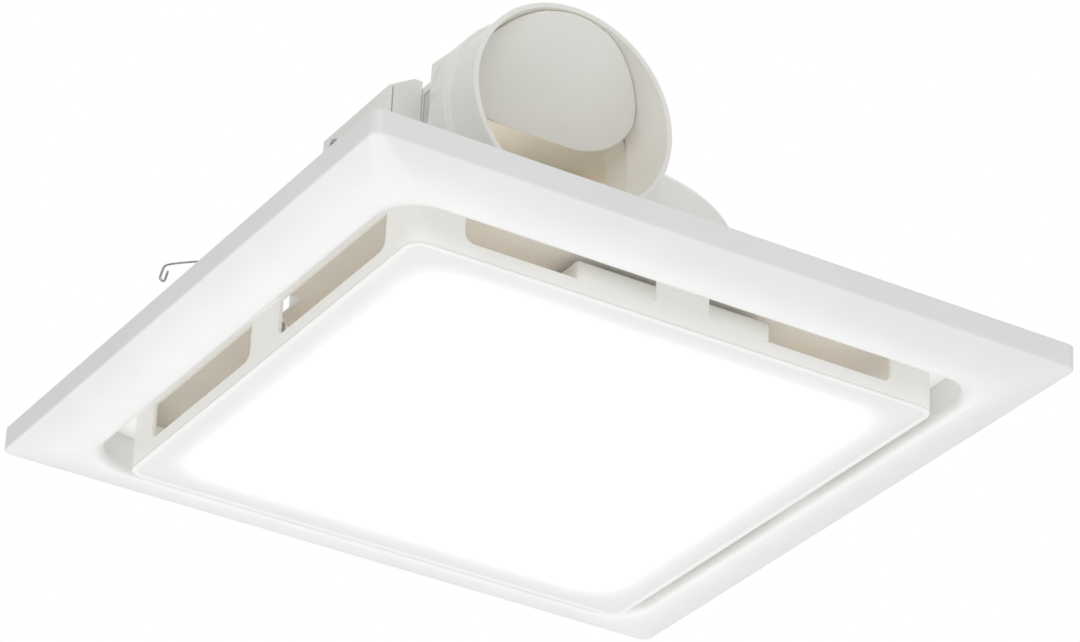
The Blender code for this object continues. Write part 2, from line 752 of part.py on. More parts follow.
def make_back_plate(aluminium):
    """The thin metal plate that closes the lamp, held by four screws, with holes for the driver's screws."""
    half = tray_inner_half - FIT_GAP * 2
    outline = rounded_square(half, TRAY_CORNER - TRAY_WALL - FIT_GAP, CORNER_STEPS, 0)
    plate = prism("lamp_back_plate", [(x, y) for x, y, z in outline],
                  back_plate_bottom, back_plate_top, aluminium)
    low = back_plate_bottom - CUT_OVERRUN
    high = back_plate_top + CUT_OVERRUN
    holes = [round_hole(x, y, BACK_PLATE_HOLE, low, high)
             for x in (-post_offset, post_offset) for y in (-post_offset, post_offset)]
    holes += [round_hole(x, y, DRIVER_SCREW_RADIUS + FIT_GAP, low, high) for x, y in driver_screw_places()]
    return cut(plate, merged("plate_holes", holes))


def make_driver(shell):
    """The lamp's driver: a soft-edged box with an ear at each end."""
    body = box("led_driver", (driver_left, driver_front, driver_bottom),
               (driver_right, driver_front + DRIVER_DEPTH, driver_bottom + DRIVER_HEIGHT), shell)
    bevelled(body, DRIVER_EDGE, EDGE_STEPS)
    overlap = DRIVER_EAR_OVERLAP
    ears = []
    holes = []
    for (x, y), inner, outer in zip(driver_screw_places(), (driver_left + overlap, driver_right - overlap),
                                    (driver_left - DRIVER_EAR_LENGTH, driver_right + DRIVER_EAR_LENGTH)):
        ears.append(box("ear", (min(inner, outer), y - DRIVER_EAR_WIDTH / 2 + DRIVER_EDGE, driver_bottom),
                        (max(inner, outer), y + DRIVER_EAR_WIDTH / 2, driver_bottom + DRIVER_EAR_THICKNESS)))
        holes.append(round_hole(x, y, DRIVER_SCREW_RADIUS + FIT_GAP, driver_bottom - CUT_OVERRUN,
                                driver_bottom + DRIVER_EAR_THICKNESS + CUT_OVERRUN))
    join(body, merged("driver_ears", ears))
    return cut(body, merged("driver_holes", holes))


def make_lamp_screws(steel):
    """The four screws of the back plate and the two of the driver."""
    names = ("front_left", "back_left", "front_right", "back_right")
    places = [(x, y) for x in (-post_offset, post_offset) for y in (-post_offset, post_offset)]
    for name, (x, y) in zip(names, places):
        screw("tray_screw_" + name, TRAY_SCREW_HEAD_RADIUS, TRAY_SCREW_HEAD_HEIGHT, TRAY_SCREW_RADIUS,
              TRAY_SCREW_LENGTH, (x, y, back_plate_top + FIT_GAP), steel)
    ear_top = driver_bottom + DRIVER_EAR_THICKNESS
    for name, (x, y) in zip(("left", "right"), driver_screw_places()):
        screw("driver_screw_" + name, DRIVER_SCREW_HEAD_RADIUS, DRIVER_SCREW_HEAD_HEIGHT, DRIVER_SCREW_RADIUS,
              ear_top + FIT_GAP - back_plate_bottom, (x, y, ear_top + FIT_GAP), steel)


def make_base(grey, foam):
    """The base: a plate with a low wall, a joggled neck that fills the cut-out, and the ceiling flange."""
    neck_inner_corner = BASE_NECK_CORNER - BASE_WALL
    flange_top = -BASE_FLANGE_DROP
    flange_bottom = flange_top - BASE_FLANGE_THICKNESS
    step_half = base_wall_inner - BASE_WALL
    sections = (
        (base_wall_inner, BASE_WALL_CORNER - BASE_WALL, BASE_PLATE_TOP),
        (base_wall_inner, BASE_WALL_CORNER - BASE_WALL, BASE_WALL_TOP),
        (base_wall_half, BASE_WALL_CORNER, BASE_WALL_TOP),
        (base_wall_half, BASE_WALL_CORNER, base_step_top),
        (base_neck_half, BASE_NECK_CORNER, base_step_top),
        (base_neck_half, BASE_NECK_CORNER, flange_top),
        (base_flange_half, BASE_FLANGE_CORNER, flange_top),
        (base_flange_half, BASE_FLANGE_CORNER, flange_bottom),
        (base_neck_inner, neck_inner_corner, flange_bottom),
        (base_neck_inner, neck_inner_corner, base_step_bottom),
        (step_half, BASE_WALL_CORNER - BASE_WALL, base_step_bottom),
        (step_half, BASE_WALL_CORNER - BASE_WALL, base_plate_bottom),
    )
    rings = [rounded_square(half, corner, BASE_CORNER_STEPS, z) for half, corner, z in sections]
    base = loft("base_plate", rings, grey)
    low = base_plate_bottom - CUT_OVERRUN
    high = BASE_PLATE_TOP + CUT_OVERRUN
    inlet = circle(inlet_throat + INLET_BELL - FIT_GAP, 0, INLET_SEGMENTS)
    tools = [prism("inlet", [(x, y) for x, y, z in inlet], low, high)]
    tools += [round_hole(x, y, HOUSING_SCREW_RADIUS + FIT_GAP, low, high) for x, y in ear_places()]
    for side in (-1, 1):
        middle = side * pull_x
        tools.append(box("pull_slot", (middle - PULL_SLOT_WIDTH / 2, -PULL_SLOT_LENGTH / 2, low),
                         (middle + PULL_SLOT_WIDTH / 2, PULL_SLOT_LENGTH / 2, high)))
    cut(base, merged("base_holes", tools))
    outer = base_flange_half - GASKET_MARGIN
    inner = outer - GASKET_WIDTH
    bottom = flange_top + FIT_GAP
    corner = BASE_FLANGE_CORNER - GASKET_MARGIN
    bands = ((outer, corner, bottom), (outer, corner, bottom + GASKET_THICKNESS),
             (inner, corner - GASKET_WIDTH * GASKET_CORNER_SHARE, bottom + GASKET_THICKNESS),
             (inner, corner - GASKET_WIDTH * GASKET_CORNER_SHARE, bottom))
    loft("gasket", [rounded_square(half, radius, BASE_CORNER_STEPS, z) for half, radius, z in bands], foam,
         ring_closed=True)


def make_inlet_ring(white):
    """The bell mouth: a flange under the base plate, and a quarter-round throat up to the impeller."""
    top = base_plate_bottom - FIT_GAP
    bottom = top - INLET_WALL
    mouth = inlet_throat + INLET_BELL
    crown = bottom + INLET_BELL
    turns = [step / INLET_STEPS * math.pi / 2 for step in range(INLET_STEPS + 1)]
    face = [(mouth - INLET_BELL * math.sin(turn), crown - INLET_BELL * math.cos(turn)) for turn in turns]
    behind_radius = INLET_BELL - INLET_WALL
    behind = [(mouth - behind_radius * math.sin(turn), crown - behind_radius * math.cos(turn))
              for turn in reversed(turns)]
    profile = [(mouth + INLET_FLANGE, bottom)] + face + behind + [(mouth + INLET_FLANGE, top)]
    return lathe("inlet_ring", profile, INLET_SEGMENTS, white)


def scroll_radius(share):
    """The scroll's outer radius, from the tongue (share 0) round to the outlet's left wall (share 1)."""
    return scroll_start + SCROLL_GROWTH * share ** SCROLL_GROWTH_POWER


def tongue_angle():
    """Where the scroll's smallest radius meets the outlet's right wall."""
    return -math.acos(outlet_right / scroll_start)


def scroll_point(share, extra=0):
    """A point on the scroll at a share of its growth, moved outwards by an extra."""
    angle = tongue_angle() + (math.pi - tongue_angle()) * share
    reach = scroll_radius(share) + extra
    return (reach * math.cos(angle), reach * math.sin(angle))


def ear_places():
    """The centres of the housing's screw ears."""
    return [scroll_point(share, EAR_REACH) for share in EAR_TURN_SHARES]


def make_scroll(grey):
    """The scroll housing: a moulded shell, open below and at the outlet, with a rolled edge and four ears."""
    rings = [[(x, y, scroll_foot) for x, y in outline_inset(0)]]
    for step in range(SCROLL_EDGE_STEPS + 1):
        turn = step / SCROLL_EDGE_STEPS * math.pi / 2
        inset = SCROLL_EDGE * (1 - math.cos(turn))
        height = SCROLL_TOP - SCROLL_EDGE + SCROLL_EDGE * math.sin(turn)
        rings.append([(x, y, height) for x, y in outline_inset(inset)])
    housing = loft("scroll_housing", rings, grey)
    wall_plan = outline_inset(SCROLL_WALL, CUT_OVERRUN)
    ceiling_plan = outline_inset(SCROLL_WALL + SCROLL_EDGE / 2, CUT_OVERRUN)
    hollow_rings = [[(x, y, scroll_foot - CUT_OVERRUN) for x, y in wall_plan],
                    [(x, y, scroll_ceiling - SCROLL_EDGE / 2) for x, y in wall_plan],
                    [(x, y, scroll_ceiling) for x, y in ceiling_plan]]
    hollow = loft("scroll_hollow", hollow_rings)
    ears = [prism("ear", [(px, py) for px, py, pz in circle(EAR_RADIUS, 0, EAR_SEGMENTS, (x, y))],
                  scroll_foot, scroll_foot + EAR_HEIGHT) for x, y in ear_places()]
    holes = [round_hole(x, y, HOUSING_SCREW_RADIUS + FIT_GAP, scroll_foot - CUT_OVERRUN,
                        scroll_foot + EAR_HEIGHT + CUT_OVERRUN) for x, y in ear_places()]
    holes.append(prism("motor_hole", [(x, y) for x, y, z in circle(motor_hole_radius, 0, MOTOR_SEGMENTS)],
                       scroll_ceiling - CUT_OVERRUN, SCROLL_TOP + CUT_OVERRUN))
    for angle in BOLT_ANGLES:
        x = bolt_circle * math.cos(angle)
        y = bolt_circle * math.sin(angle)
        holes.append(round_hole(x, y, BUSH_NECK + FIT_GAP, scroll_ceiling - CUT_OVERRUN,
                                SCROLL_TOP + CUT_OVERRUN))
    join(housing, merged("scroll_ears", ears))
    cut(housing, hollow, merged("scroll_holes", holes))
    return housing


def outline_inset(inset, past_end=0):
    """The scroll's plan moved inwards, with the outlet end left where it is or drawn past it."""
    outline = [scroll_point(step / SCROLL_STEPS, -inset) for step in range(SCROLL_STEPS + 1)]
    left = outlet_left + inset
    right = outlet_right - inset
    first = outline[0]
    last = outline[-1]
    end = OUTLET_END - past_end
    outline[0] = (right, first[1])
    outline[-1] = (left, last[1])
    return outline + [(left, end), (right, end)]


def make_housing_screws(steel):
    """The screws through the housing's ears into the base plate."""
    seat = scroll_foot + EAR_HEIGHT + FIT_GAP
    for name, (x, y) in zip(("front_right", "right", "back", "left"), ear_places()):
        screw("housing_screw_" + name, HOUSING_SCREW_HEAD_RADIUS, HOUSING_SCREW_HEAD_HEIGHT,
              HOUSING_SCREW_RADIUS, seat - base_plate_bottom, (x, y, seat), steel)


def duct_turns():
    """The angles of a duct ring's points, half a step off the axes."""
    return [FULL_TURN * (step + DUCT_TURN_SHARE) / COLLAR_SEGMENTS for step in range(COLLAR_SEGMENTS)]


def duct_rectangle(half_width, low, high, place, corner):
    """The duct's square end as a ring with as many points as the round end, at a place along Y."""
    height = (high - low) / 2
    middle = (high + low) / 2
    points = []
    for turn in duct_turns():
        across = math.cos(turn)
        up = math.sin(turn)
        stretch = min((half_width - corner) / abs(across), (height - corner) / abs(up)) + corner
        points.append((duct_x + across * stretch, place, middle + up * stretch))
    return points


def duct_circle(radius, place):
    """The duct's round ring at a place along Y."""
    return [(duct_x + radius * math.cos(turn), place, spigot_height + radius * math.sin(turn))
            for turn in duct_turns()]


def make_collar(grey):
    """The duct collar: a square end against the housing, a bead, and the round spigot with its end ring."""
    back = OUTLET_END - FIT_GAP
    low = scroll_foot
    outer_half = bead_radius
    top = SCROLL_TOP + SPIGOT_WALL
    inner_low = scroll_foot + SCROLL_WALL
    inner_half = outlet_width / 2 - SCROLL_WALL
    inner_top = scroll_ceiling
    ring_radius = SPIGOT_RADIUS + SPIGOT_RING
    rings = [
        duct_rectangle(outer_half, low, top, back, SPIGOT_WALL),
        duct_circle(bead_radius, back - COLLAR_STEP),
        duct_circle(bead_radius, BEAD_END + COLLAR_BEAD_ROUND),
        duct_circle(bead_radius - COLLAR_BEAD_ROUND, BEAD_END),
        duct_circle(SPIGOT_RADIUS, BEAD_END - COLLAR_BEAD_ROUND),
        duct_circle(SPIGOT_RADIUS, SPIGOT_END + SPIGOT_RING_LENGTH + SPIGOT_RING),
        duct_circle(ring_radius, SPIGOT_END + SPIGOT_RING_LENGTH),
        duct_circle(ring_radius, SPIGOT_END + SPIGOT_RING),
        duct_circle(ring_radius - SPIGOT_RING, SPIGOT_END),
        duct_circle(spigot_bore + SPIGOT_RING, SPIGOT_END),
        duct_circle(spigot_bore, SPIGOT_END + SPIGOT_RING),
        duct_circle(spigot_bore, back - SPIGOT_WALL - COLLAR_STEP),
        duct_rectangle(inner_half, inner_low, inner_top, back - SPIGOT_WALL, SPIGOT_WALL),
        duct_rectangle(inner_half, inner_low, inner_top, back, SPIGOT_WALL),
    ]
    collar = loft("duct_collar", rings, grey, ring_closed=True)
    bosses = []
    holes = []
    for side in (-1, 1):
        outer = pivot_wall_half + SPIGOT_WALL / 2
        inner = pivot_wall_half - DAMPER_BOSS_LENGTH
        bosses.append(cross_rod(DAMPER_BOSS_RADIUS, side * inner, side * outer))
        blind = pivot_wall_half + SPIGOT_WALL * BORE_BITE_SHARE
        holes.append(cross_rod(DAMPER_BORE_RADIUS, side * (inner - CUT_OVERRUN), side * blind))
    join(collar, merged("pivot_bosses", bosses))
    return cut(collar, merged("pivot_holes", holes))


def cross_rod(radius, start, end):
    """A rod along X on the damper's pivot line, between two places counted from the duct's middle."""
    low, high = min(start, end), max(start, end)
    rod = lathe("rod", ((radius, low), (radius, high)), BUSH_SEGMENTS, bored=False)
    rod = turned(rod, Matrix.Rotation(math.pi / 2, 4, "Y"))
    return turned(rod, Matrix.Translation((duct_x, DAMPER_PLACE, pivot_height)))


def damper_half(along):
    """Half the flap's width at a distance from its pin: just inside the spigot's wall as the flap rests."""
    lift = pivot_height - spigot_height - along * math.cos(DAMPER_LEAN)
    lift -= (DAMPER_SLEEVE_RADIUS - DAMPER_THICKNESS) * math.sin(DAMPER_LEAN)
    return min(math.sqrt(spigot_bore ** 2 - lift ** 2) - DAMPER_SIDE_GAP, damper_largest_half)


def damper_outline():
    """The flap's right side as (across, along) points, from its front edge to its rounded rear corner."""
    corner = DAMPER_REAR - DAMPER_CORNER_LENGTH
    points = []
    for step in range(DAMPER_SIDE_STEPS):
        along = -DAMPER_FRONT + (corner + DAMPER_FRONT) * step / DAMPER_SIDE_STEPS
        points.append((damper_half(along), along))
    centre = damper_half(corner) - DAMPER_CORNER_WIDTH
    for step in range(DAMPER_CORNER_STEPS + 1):
        turn = step / DAMPER_CORNER_STEPS * math.pi / 2
        points.append((centre + DAMPER_CORNER_WIDTH * math.cos(turn),
                       corner + DAMPER_CORNER_LENGTH * math.sin(turn)))
    return points


def make_damper(grey, steel):
    """The damper: a thin plate with a sleeve on a steel pin, its front edge up at the mouth."""
    sleeve_half = pivot_wall_half - DAMPER_BOSS_LENGTH - RUN_GAP
    front = DAMPER_PLACE - DAMPER_SLEEVE_RADIUS
    right = damper_outline()
    outline = right + [(-across, along) for across, along in reversed(right)]
    rings = [[(duct_x + across, place, pivot_height - along) for across, along in outline]
             for place in (front, front + DAMPER_THICKNESS)]
    flap = loft("damper_flap", rings, grey)
    notches = []
    for side in (-1, 1):
        near = duct_x + side * sleeve_half
        far = duct_x + side * (damper_largest_half + CUT_OVERRUN)
        notches.append(box("notch",
                           (min(near, far), DAMPER_PLACE - DAMPER_NOTCH, pivot_height - DAMPER_NOTCH),
                           (max(near, far), DAMPER_PLACE + DAMPER_NOTCH, pivot_height + DAMPER_NOTCH)))
    join(flap, cross_rod(DAMPER_SLEEVE_RADIUS, -sleeve_half, sleeve_half))
    bore = cross_rod(DAMPER_BORE_RADIUS, -pivot_wall_half, pivot_wall_half)
    cut(flap, merged("flap_notches", notches), bore)
    pivot = (duct_x, DAMPER_PLACE, pivot_height)
    pin_half = pivot_wall_half - FIT_GAP
    pin = cross_rod(DAMPER_PIN_RADIUS, -pin_half, pin_half)
    pin.name = "damper_pin"
    pin.data.materials.append(steel)
    set_origin(pin, pivot)
    swing_damper(flap, pivot)


def swing_damper(flap, pivot):
    """Turns the finished flap and its cutters about the pivot to its resting angle."""
    holder = bpy.data.objects.new("damper_pivot", None)
    bpy.context.scene.collection.objects.link(holder)
    holder.location = pivot
    tools = [modifier.object for modifier in flap.modifiers]
    for piece in [flap] + tools:
        piece.data.transform(Matrix.Translation(-Vector(pivot)))
        piece.parent = holder
    holder.rotation_euler = (DAMPER_LEAN, 0, 0)


def blade(index):
    """One forward-curved blade, its tip leaning in the direction of turning."""
    start = FULL_TURN * index / BLADE_COUNT
    low = IMPELLER_BOTTOM + IMPELLER_RING - BLADE_BITE
    high = IMPELLER_TOP - IMPELLER_PLATE + BLADE_BITE
    reach = IMPELLER_RADIUS - BLADE_BITE - impeller_inner - BLADE_BITE
    front = []
    back = []
    for station in range(BLADE_STATIONS):
        share = station / (BLADE_STATIONS - 1)
        radius = impeller_inner + BLADE_BITE + reach * share
        angle = start + BLADE_SWEEP * share ** BLADE_SWEEP_POWER
        half = BLADE_THICKNESS / 2 / radius
        front.append((radius * math.cos(angle + half), radius * math.sin(angle + half)))
        back.append((radius * math.cos(angle - half), radius * math.sin(angle - half)))
    return prism("blade", back + front[::-1], low, high)


def make_impeller(dark):
    """The impeller: an eye ring, forward-curved blades, and a back plate dished round the motor."""
    plate_bottom = IMPELLER_TOP - IMPELLER_PLATE
    dish_low = IMPELLER_DISH_FLOOR - IMPELLER_PLATE
    bore = SHAFT_RADIUS + FIT_GAP
    profile = (
        (IMPELLER_RADIUS, plate_bottom),
        (IMPELLER_RADIUS, IMPELLER_TOP),
        (dish_top_radius, IMPELLER_TOP),
        (dish_floor_radius, IMPELLER_DISH_FLOOR),
        (HUB_RADIUS, IMPELLER_DISH_FLOOR),
        (HUB_RADIUS, HUB_TOP),
        (bore, HUB_TOP),
        (bore, HUB_BOTTOM),
        (HUB_RADIUS, HUB_BOTTOM),
        (HUB_RADIUS, dish_low),
        (dish_floor_radius + IMPELLER_PLATE * DISH_LEAN_SHARE, dish_low),
        (dish_top_radius + IMPELLER_PLATE, plate_bottom),
    )
    wheel = lathe("impeller", profile, IMPELLER_SEGMENTS, dark)
    eye = lathe("eye_ring", (
        (IMPELLER_RADIUS, IMPELLER_BOTTOM),
        (IMPELLER_RADIUS, IMPELLER_BOTTOM + IMPELLER_RING),
        (impeller_inner, IMPELLER_BOTTOM + IMPELLER_RING),
        (impeller_inner, IMPELLER_BOTTOM),
    ), IMPELLER_SEGMENTS)
    blades = merged("blades", [blade(index) for index in range(BLADE_COUNT)])
    return join(wheel, blades, eye)


def make_motor(parts):
    """The motor: two case halves, core, windings, rotor, shaft and bearings."""
    seat_outer = BEARING_RADIUS + FIT_GAP + BEARING_SEAT_WALL
    seat_inner = BEARING_RADIUS + FIT_GAP
    inner = MOTOR_RADIUS - MOTOR_WALL
    upper_floor = motor_top - MOTOR_WALL
    seat_depth = BEARING_HEIGHT + FIT_GAP
    lathe("motor_upper_case", (
        (MOTOR_RADIUS, MOTOR_SPLIT + FIT_GAP),
        (MOTOR_RADIUS, motor_top - MOTOR_EDGE),
        (MOTOR_RADIUS - MOTOR_EDGE, motor_top),
        (MOTOR_END_HOLE, motor_top),
        (MOTOR_END_HOLE, upper_floor),
        (seat_inner, upper_floor),
        (seat_inner, upper_floor - seat_depth),
        (seat_outer, upper_floor - seat_depth),
        (seat_outer, upper_floor),
        (inner, upper_floor),
        (inner, MOTOR_SPLIT + FIT_GAP),
    ), MOTOR_SEGMENTS, parts["steel"])
    lower_floor = MOTOR_BOTTOM + MOTOR_WALL
    lathe("motor_lower_case", (
        (MOTOR_RADIUS, MOTOR_SPLIT),
        (MOTOR_RADIUS, MOTOR_BOTTOM + MOTOR_EDGE),
        (MOTOR_RADIUS - MOTOR_EDGE, MOTOR_BOTTOM),
        (MOTOR_END_HOLE, MOTOR_BOTTOM),
        (MOTOR_END_HOLE, lower_floor),
        (seat_inner, lower_floor),
        (seat_inner, lower_floor + seat_depth),
        (seat_outer, lower_floor + seat_depth),
        (seat_outer, lower_floor),
        (inner, lower_floor),
        (inner, MOTOR_SPLIT),
    ), MOTOR_SEGMENTS, parts["steel"])
    for name, low in (("bearing_lower", lower_floor + FIT_GAP), ("bearing_upper", upper_floor - seat_depth)):
        tube(name, bearing_bore, BEARING_RADIUS, low, low + BEARING_HEIGHT, BEARING_SEGMENTS, parts["bright"])
    make_stator(parts["core"])
    for name, low in (("winding_lower", STATOR_BOTTOM - FIT_GAP - WINDING_HEIGHT),
                      ("winding_upper", STATOR_TOP + FIT_GAP)):
        tube(name, winding_inner, winding_outer, low, low + WINDING_HEIGHT, MOTOR_SEGMENTS, parts["copper"])
    tube("motor_rotor", bearing_bore, stator_bore - ROTOR_AIR_GAP, STATOR_BOTTOM, STATOR_TOP, MOTOR_SEGMENTS,
         parts["core"])
    shaft_top = upper_floor - FIT_GAP
    lathe("motor_shaft", (
        (SHAFT_RADIUS, shaft_top),
        (SHAFT_RADIUS, HUB_BOTTOM),
        (SHAFT_THREAD_RADIUS, HUB_BOTTOM),
        (SHAFT_THREAD_RADIUS, SHAFT_BOTTOM),
    ), SHAFT_SEGMENTS, parts["bright"], bored=False)
    nut_top = HUB_BOTTOM - FIT_GAP
    nut_bottom = nut_top - NUT_HEIGHT
    nut_bore = SHAFT_THREAD_RADIUS + FIT_GAP
    hexagon = [(NUT_RADIUS, nut_bottom), (NUT_RADIUS, nut_top), (nut_bore, nut_top), (nut_bore, nut_bottom)]
    rings = [circle(radius, z, NUT_SEGMENTS) if radius < NUT_RADIUS else hexagon_ring(radius, z)
             for radius, z in hexagon]
    loft("impeller_nut", rings, parts["bright"], ring_closed=True)


def hexagon_ring(radius, z):
    """A hexagon with a point in the middle of each side, to match a round bore of twice as many points."""
    corners = circle(radius, z, NUT_SEGMENTS // 2)
    points = []
    for here, after in zip(corners, corners[1:] + corners[:1]):
        points.append(here)
        points.append(((here[0] + after[0]) / 2, (here[1] + after[1]) / 2, z))
    return points


def tube(name, inner, outer, low, high, segments, material):
    """A plain bored ring."""
    return lathe(name, ((outer, low), (outer, high), (inner, high), (inner, low)), segments, material)


def make_stator(core):
    """The stator core: a yoke with inward teeth between winding slots."""
    pitch = FULL_TURN / STATOR_TEETH
    slot_outer = stator_radius - STATOR_YOKE
    slots = []
    for index in range(STATOR_TEETH):
        middle = pitch * index
        half = pitch * STATOR_SLOT_SHARE / 2
        corners = [(stator_bore - CUT_OVERRUN, middle - half), (slot_outer, middle - half),
                   (slot_outer, middle + half), (stator_bore - CUT_OVERRUN, middle + half)]
        outline = [(radius * math.cos(turn), radius * math.sin(turn)) for radius, turn in corners]
        slots.append(prism("slot", outline, STATOR_BOTTOM - CUT_OVERRUN, STATOR_TOP + CUT_OVERRUN))
    stator = tube("motor_stator", stator_bore, stator_radius, STATOR_BOTTOM, STATOR_TOP, MOTOR_SEGMENTS, core)
    return cut(stator, merged("stator_slots", slots))


def make_motor_mount(steel, rubber):
    """The motor plate on top of the housing, with a rubber bush and a bolt at each of three places."""
    plate = tube("motor_plate", MOTOR_PLATE_HOLE, motor_plate_radius, motor_plate_bottom, motor_plate_top,
                 MOTOR_SEGMENTS, steel)
    holes = []
    bush_top = SCROLL_TOP + FIT_GAP + BUSH_FLANGE
    bush_low = scroll_ceiling - FIT_GAP - BUSH_FLANGE
    seat = motor_plate_top + FIT_GAP
    nut_top = bush_low - FIT_GAP
    for number, angle in enumerate(BOLT_ANGLES, start=1):
        place = (bolt_circle * math.cos(angle), bolt_circle * math.sin(angle))
        holes.append(round_hole(*place, BOLT_RADIUS + FIT_GAP, motor_plate_bottom - CUT_OVERRUN,
                                motor_plate_top + CUT_OVERRUN))
        lathe("motor_bush_" + str(number), (
            (BUSH_RADIUS, bush_top),
            (BOLT_RADIUS + FIT_GAP, bush_top),
            (BOLT_RADIUS + FIT_GAP, bush_low),
            (BUSH_RADIUS, bush_low),
            (BUSH_RADIUS, scroll_ceiling - FIT_GAP),
            (BUSH_NECK, scroll_ceiling - FIT_GAP),
            (BUSH_NECK, SCROLL_TOP + FIT_GAP),
            (BUSH_RADIUS, SCROLL_TOP + FIT_GAP),
        ), BUSH_SEGMENTS, rubber, place)
        lathe("motor_bolt_" + str(number), (
            (BOLT_HEAD_RADIUS, seat + BOLT_HEAD_HEIGHT),
            (BOLT_HEAD_RADIUS, seat),
            (BOLT_RADIUS, seat),
            (BOLT_RADIUS, nut_top),
            (BOLT_HEAD_RADIUS, nut_top),
            (BOLT_HEAD_RADIUS, nut_top - BOLT_HEAD_HEIGHT),
        ), NUT_SEGMENTS, steel, place, bored=False)
    return cut(plate, merged("plate_bolt_holes", holes))


def box_section(inset_x, inset_z, depth):
    """The junction box's (x, height) section: a sloped top between the wall side and the outer side."""
    wall_side = outlet_left - FIT_GAP - inset_x
    outer_side = outlet_left - FIT_GAP - depth
    return [(wall_side, BOX_BOTTOM + inset_z), (wall_side, box_top_inner - inset_z),
            (wall_side - BOX_DEPTH * BOX_SHOULDER_SHARE, box_top_inner - inset_z),
            (outer_side, BOX_TOP_OUTER - inset_z), (outer_side, BOX_BOTTOM + inset_z)]


def along_y(name, section, start, end, material=None):
    """A section of (x, height) points drawn along Y."""
    return loft(name, [[(x, place, z) for x, z in section] for place in (start, end)], material)


def make_junction_box(grey, steel):
    """The junction box: a shallow tray against the housing, closed by a cover with one screw."""
    body = along_y("junction_box", box_section(0, 0, BOX_DEPTH), BOX_FRONT, BOX_BACK, grey)
    hollow = along_y("box_hollow", box_section(BOX_WALL, BOX_WALL, BOX_DEPTH + CUT_OVERRUN),
                     BOX_FRONT + BOX_WALL, BOX_BACK - BOX_WALL)
    outer = outlet_left - FIT_GAP - BOX_DEPTH
    floor = outlet_left - FIT_GAP - BOX_WALL
    post = x_rod(COVER_POST_RADIUS, floor + BOX_WALL / 2, outer, COVER_SCREW_PLACE, cover_screw_height)
    post_hole = x_rod(COVER_SCREW_RADIUS + FIT_GAP, floor, outer - CUT_OVERRUN, COVER_SCREW_PLACE,
                      cover_screw_height)
    gland_hole = y_rod(GLAND_NECK + FIT_GAP, BOX_BACK - BOX_WALL - CUT_OVERRUN, BOX_BACK + CUT_OVERRUN)
    cut(body, hollow)
    join(body, post)
    cut(body, post_hole, gland_hole)
    cover_inner = outer - FIT_GAP
    cover_outer = cover_inner - BOX_COVER_THICKNESS
    cover = box("junction_box_cover",
                (cover_outer, BOX_FRONT + BOX_COVER_MARGIN, BOX_BOTTOM + BOX_COVER_MARGIN),
                (cover_inner, BOX_BACK - BOX_COVER_MARGIN, BOX_TOP_OUTER - BOX_COVER_MARGIN), grey)
    bevelled(cover, BOX_COVER_THICKNESS * COVER_EDGE_SHARE, EDGE_STEPS)
    cut(cover, x_rod(COVER_SCREW_RADIUS + FIT_GAP, cover_inner + CUT_OVERRUN, cover_outer - CUT_OVERRUN,
                     COVER_SCREW_PLACE, cover_screw_height))
    head = cover_outer - FIT_GAP
    made = lathe("junction_cover_screw", (
        (COVER_SCREW_HEAD_RADIUS * HEAD_CROWN_SHARE, head - COVER_SCREW_HEAD_HEIGHT),
        (COVER_SCREW_HEAD_RADIUS, head - COVER_SCREW_HEAD_HEIGHT * HEAD_CROWN_SHARE),
        (COVER_SCREW_HEAD_RADIUS, head),
        (COVER_SCREW_RADIUS, head),
        (COVER_SCREW_RADIUS, floor - FIT_GAP - BOX_WALL),
    ), SCREW_SEGMENTS, steel, bored=False)
    turned(made, Matrix.Rotation(math.pi / 2, 4, "Y"))
    turned(made, Matrix.Translation((0, COVER_SCREW_PLACE, cover_screw_height)))


def x_rod(radius, start, end, y, z):
    """A rod along X."""
    rod = lathe("rod", ((radius, min(start, end)), (radius, max(start, end))), BUSH_SEGMENTS, bored=False)
    rod = turned(rod, Matrix.Rotation(math.pi / 2, 4, "Y"))
    return turned(rod, Matrix.Translation((0, y, z)))


def gland_x():
    """The gland's centre line, half way through the junction box."""
    return outlet_left - FIT_GAP - BOX_DEPTH / 2


def y_rod(radius, start, end):
    """A rod along Y on the gland's centre line."""
    rod = lathe("rod", ((radius, min(start, end)), (radius, max(start, end))), GLAND_SEGMENTS, bored=False)
    rod = turned(rod, Matrix.Rotation(-math.pi / 2, 4, "X"))
    return turned(rod, Matrix.Translation((gland_x(), 0, GLAND_HEIGHT)))


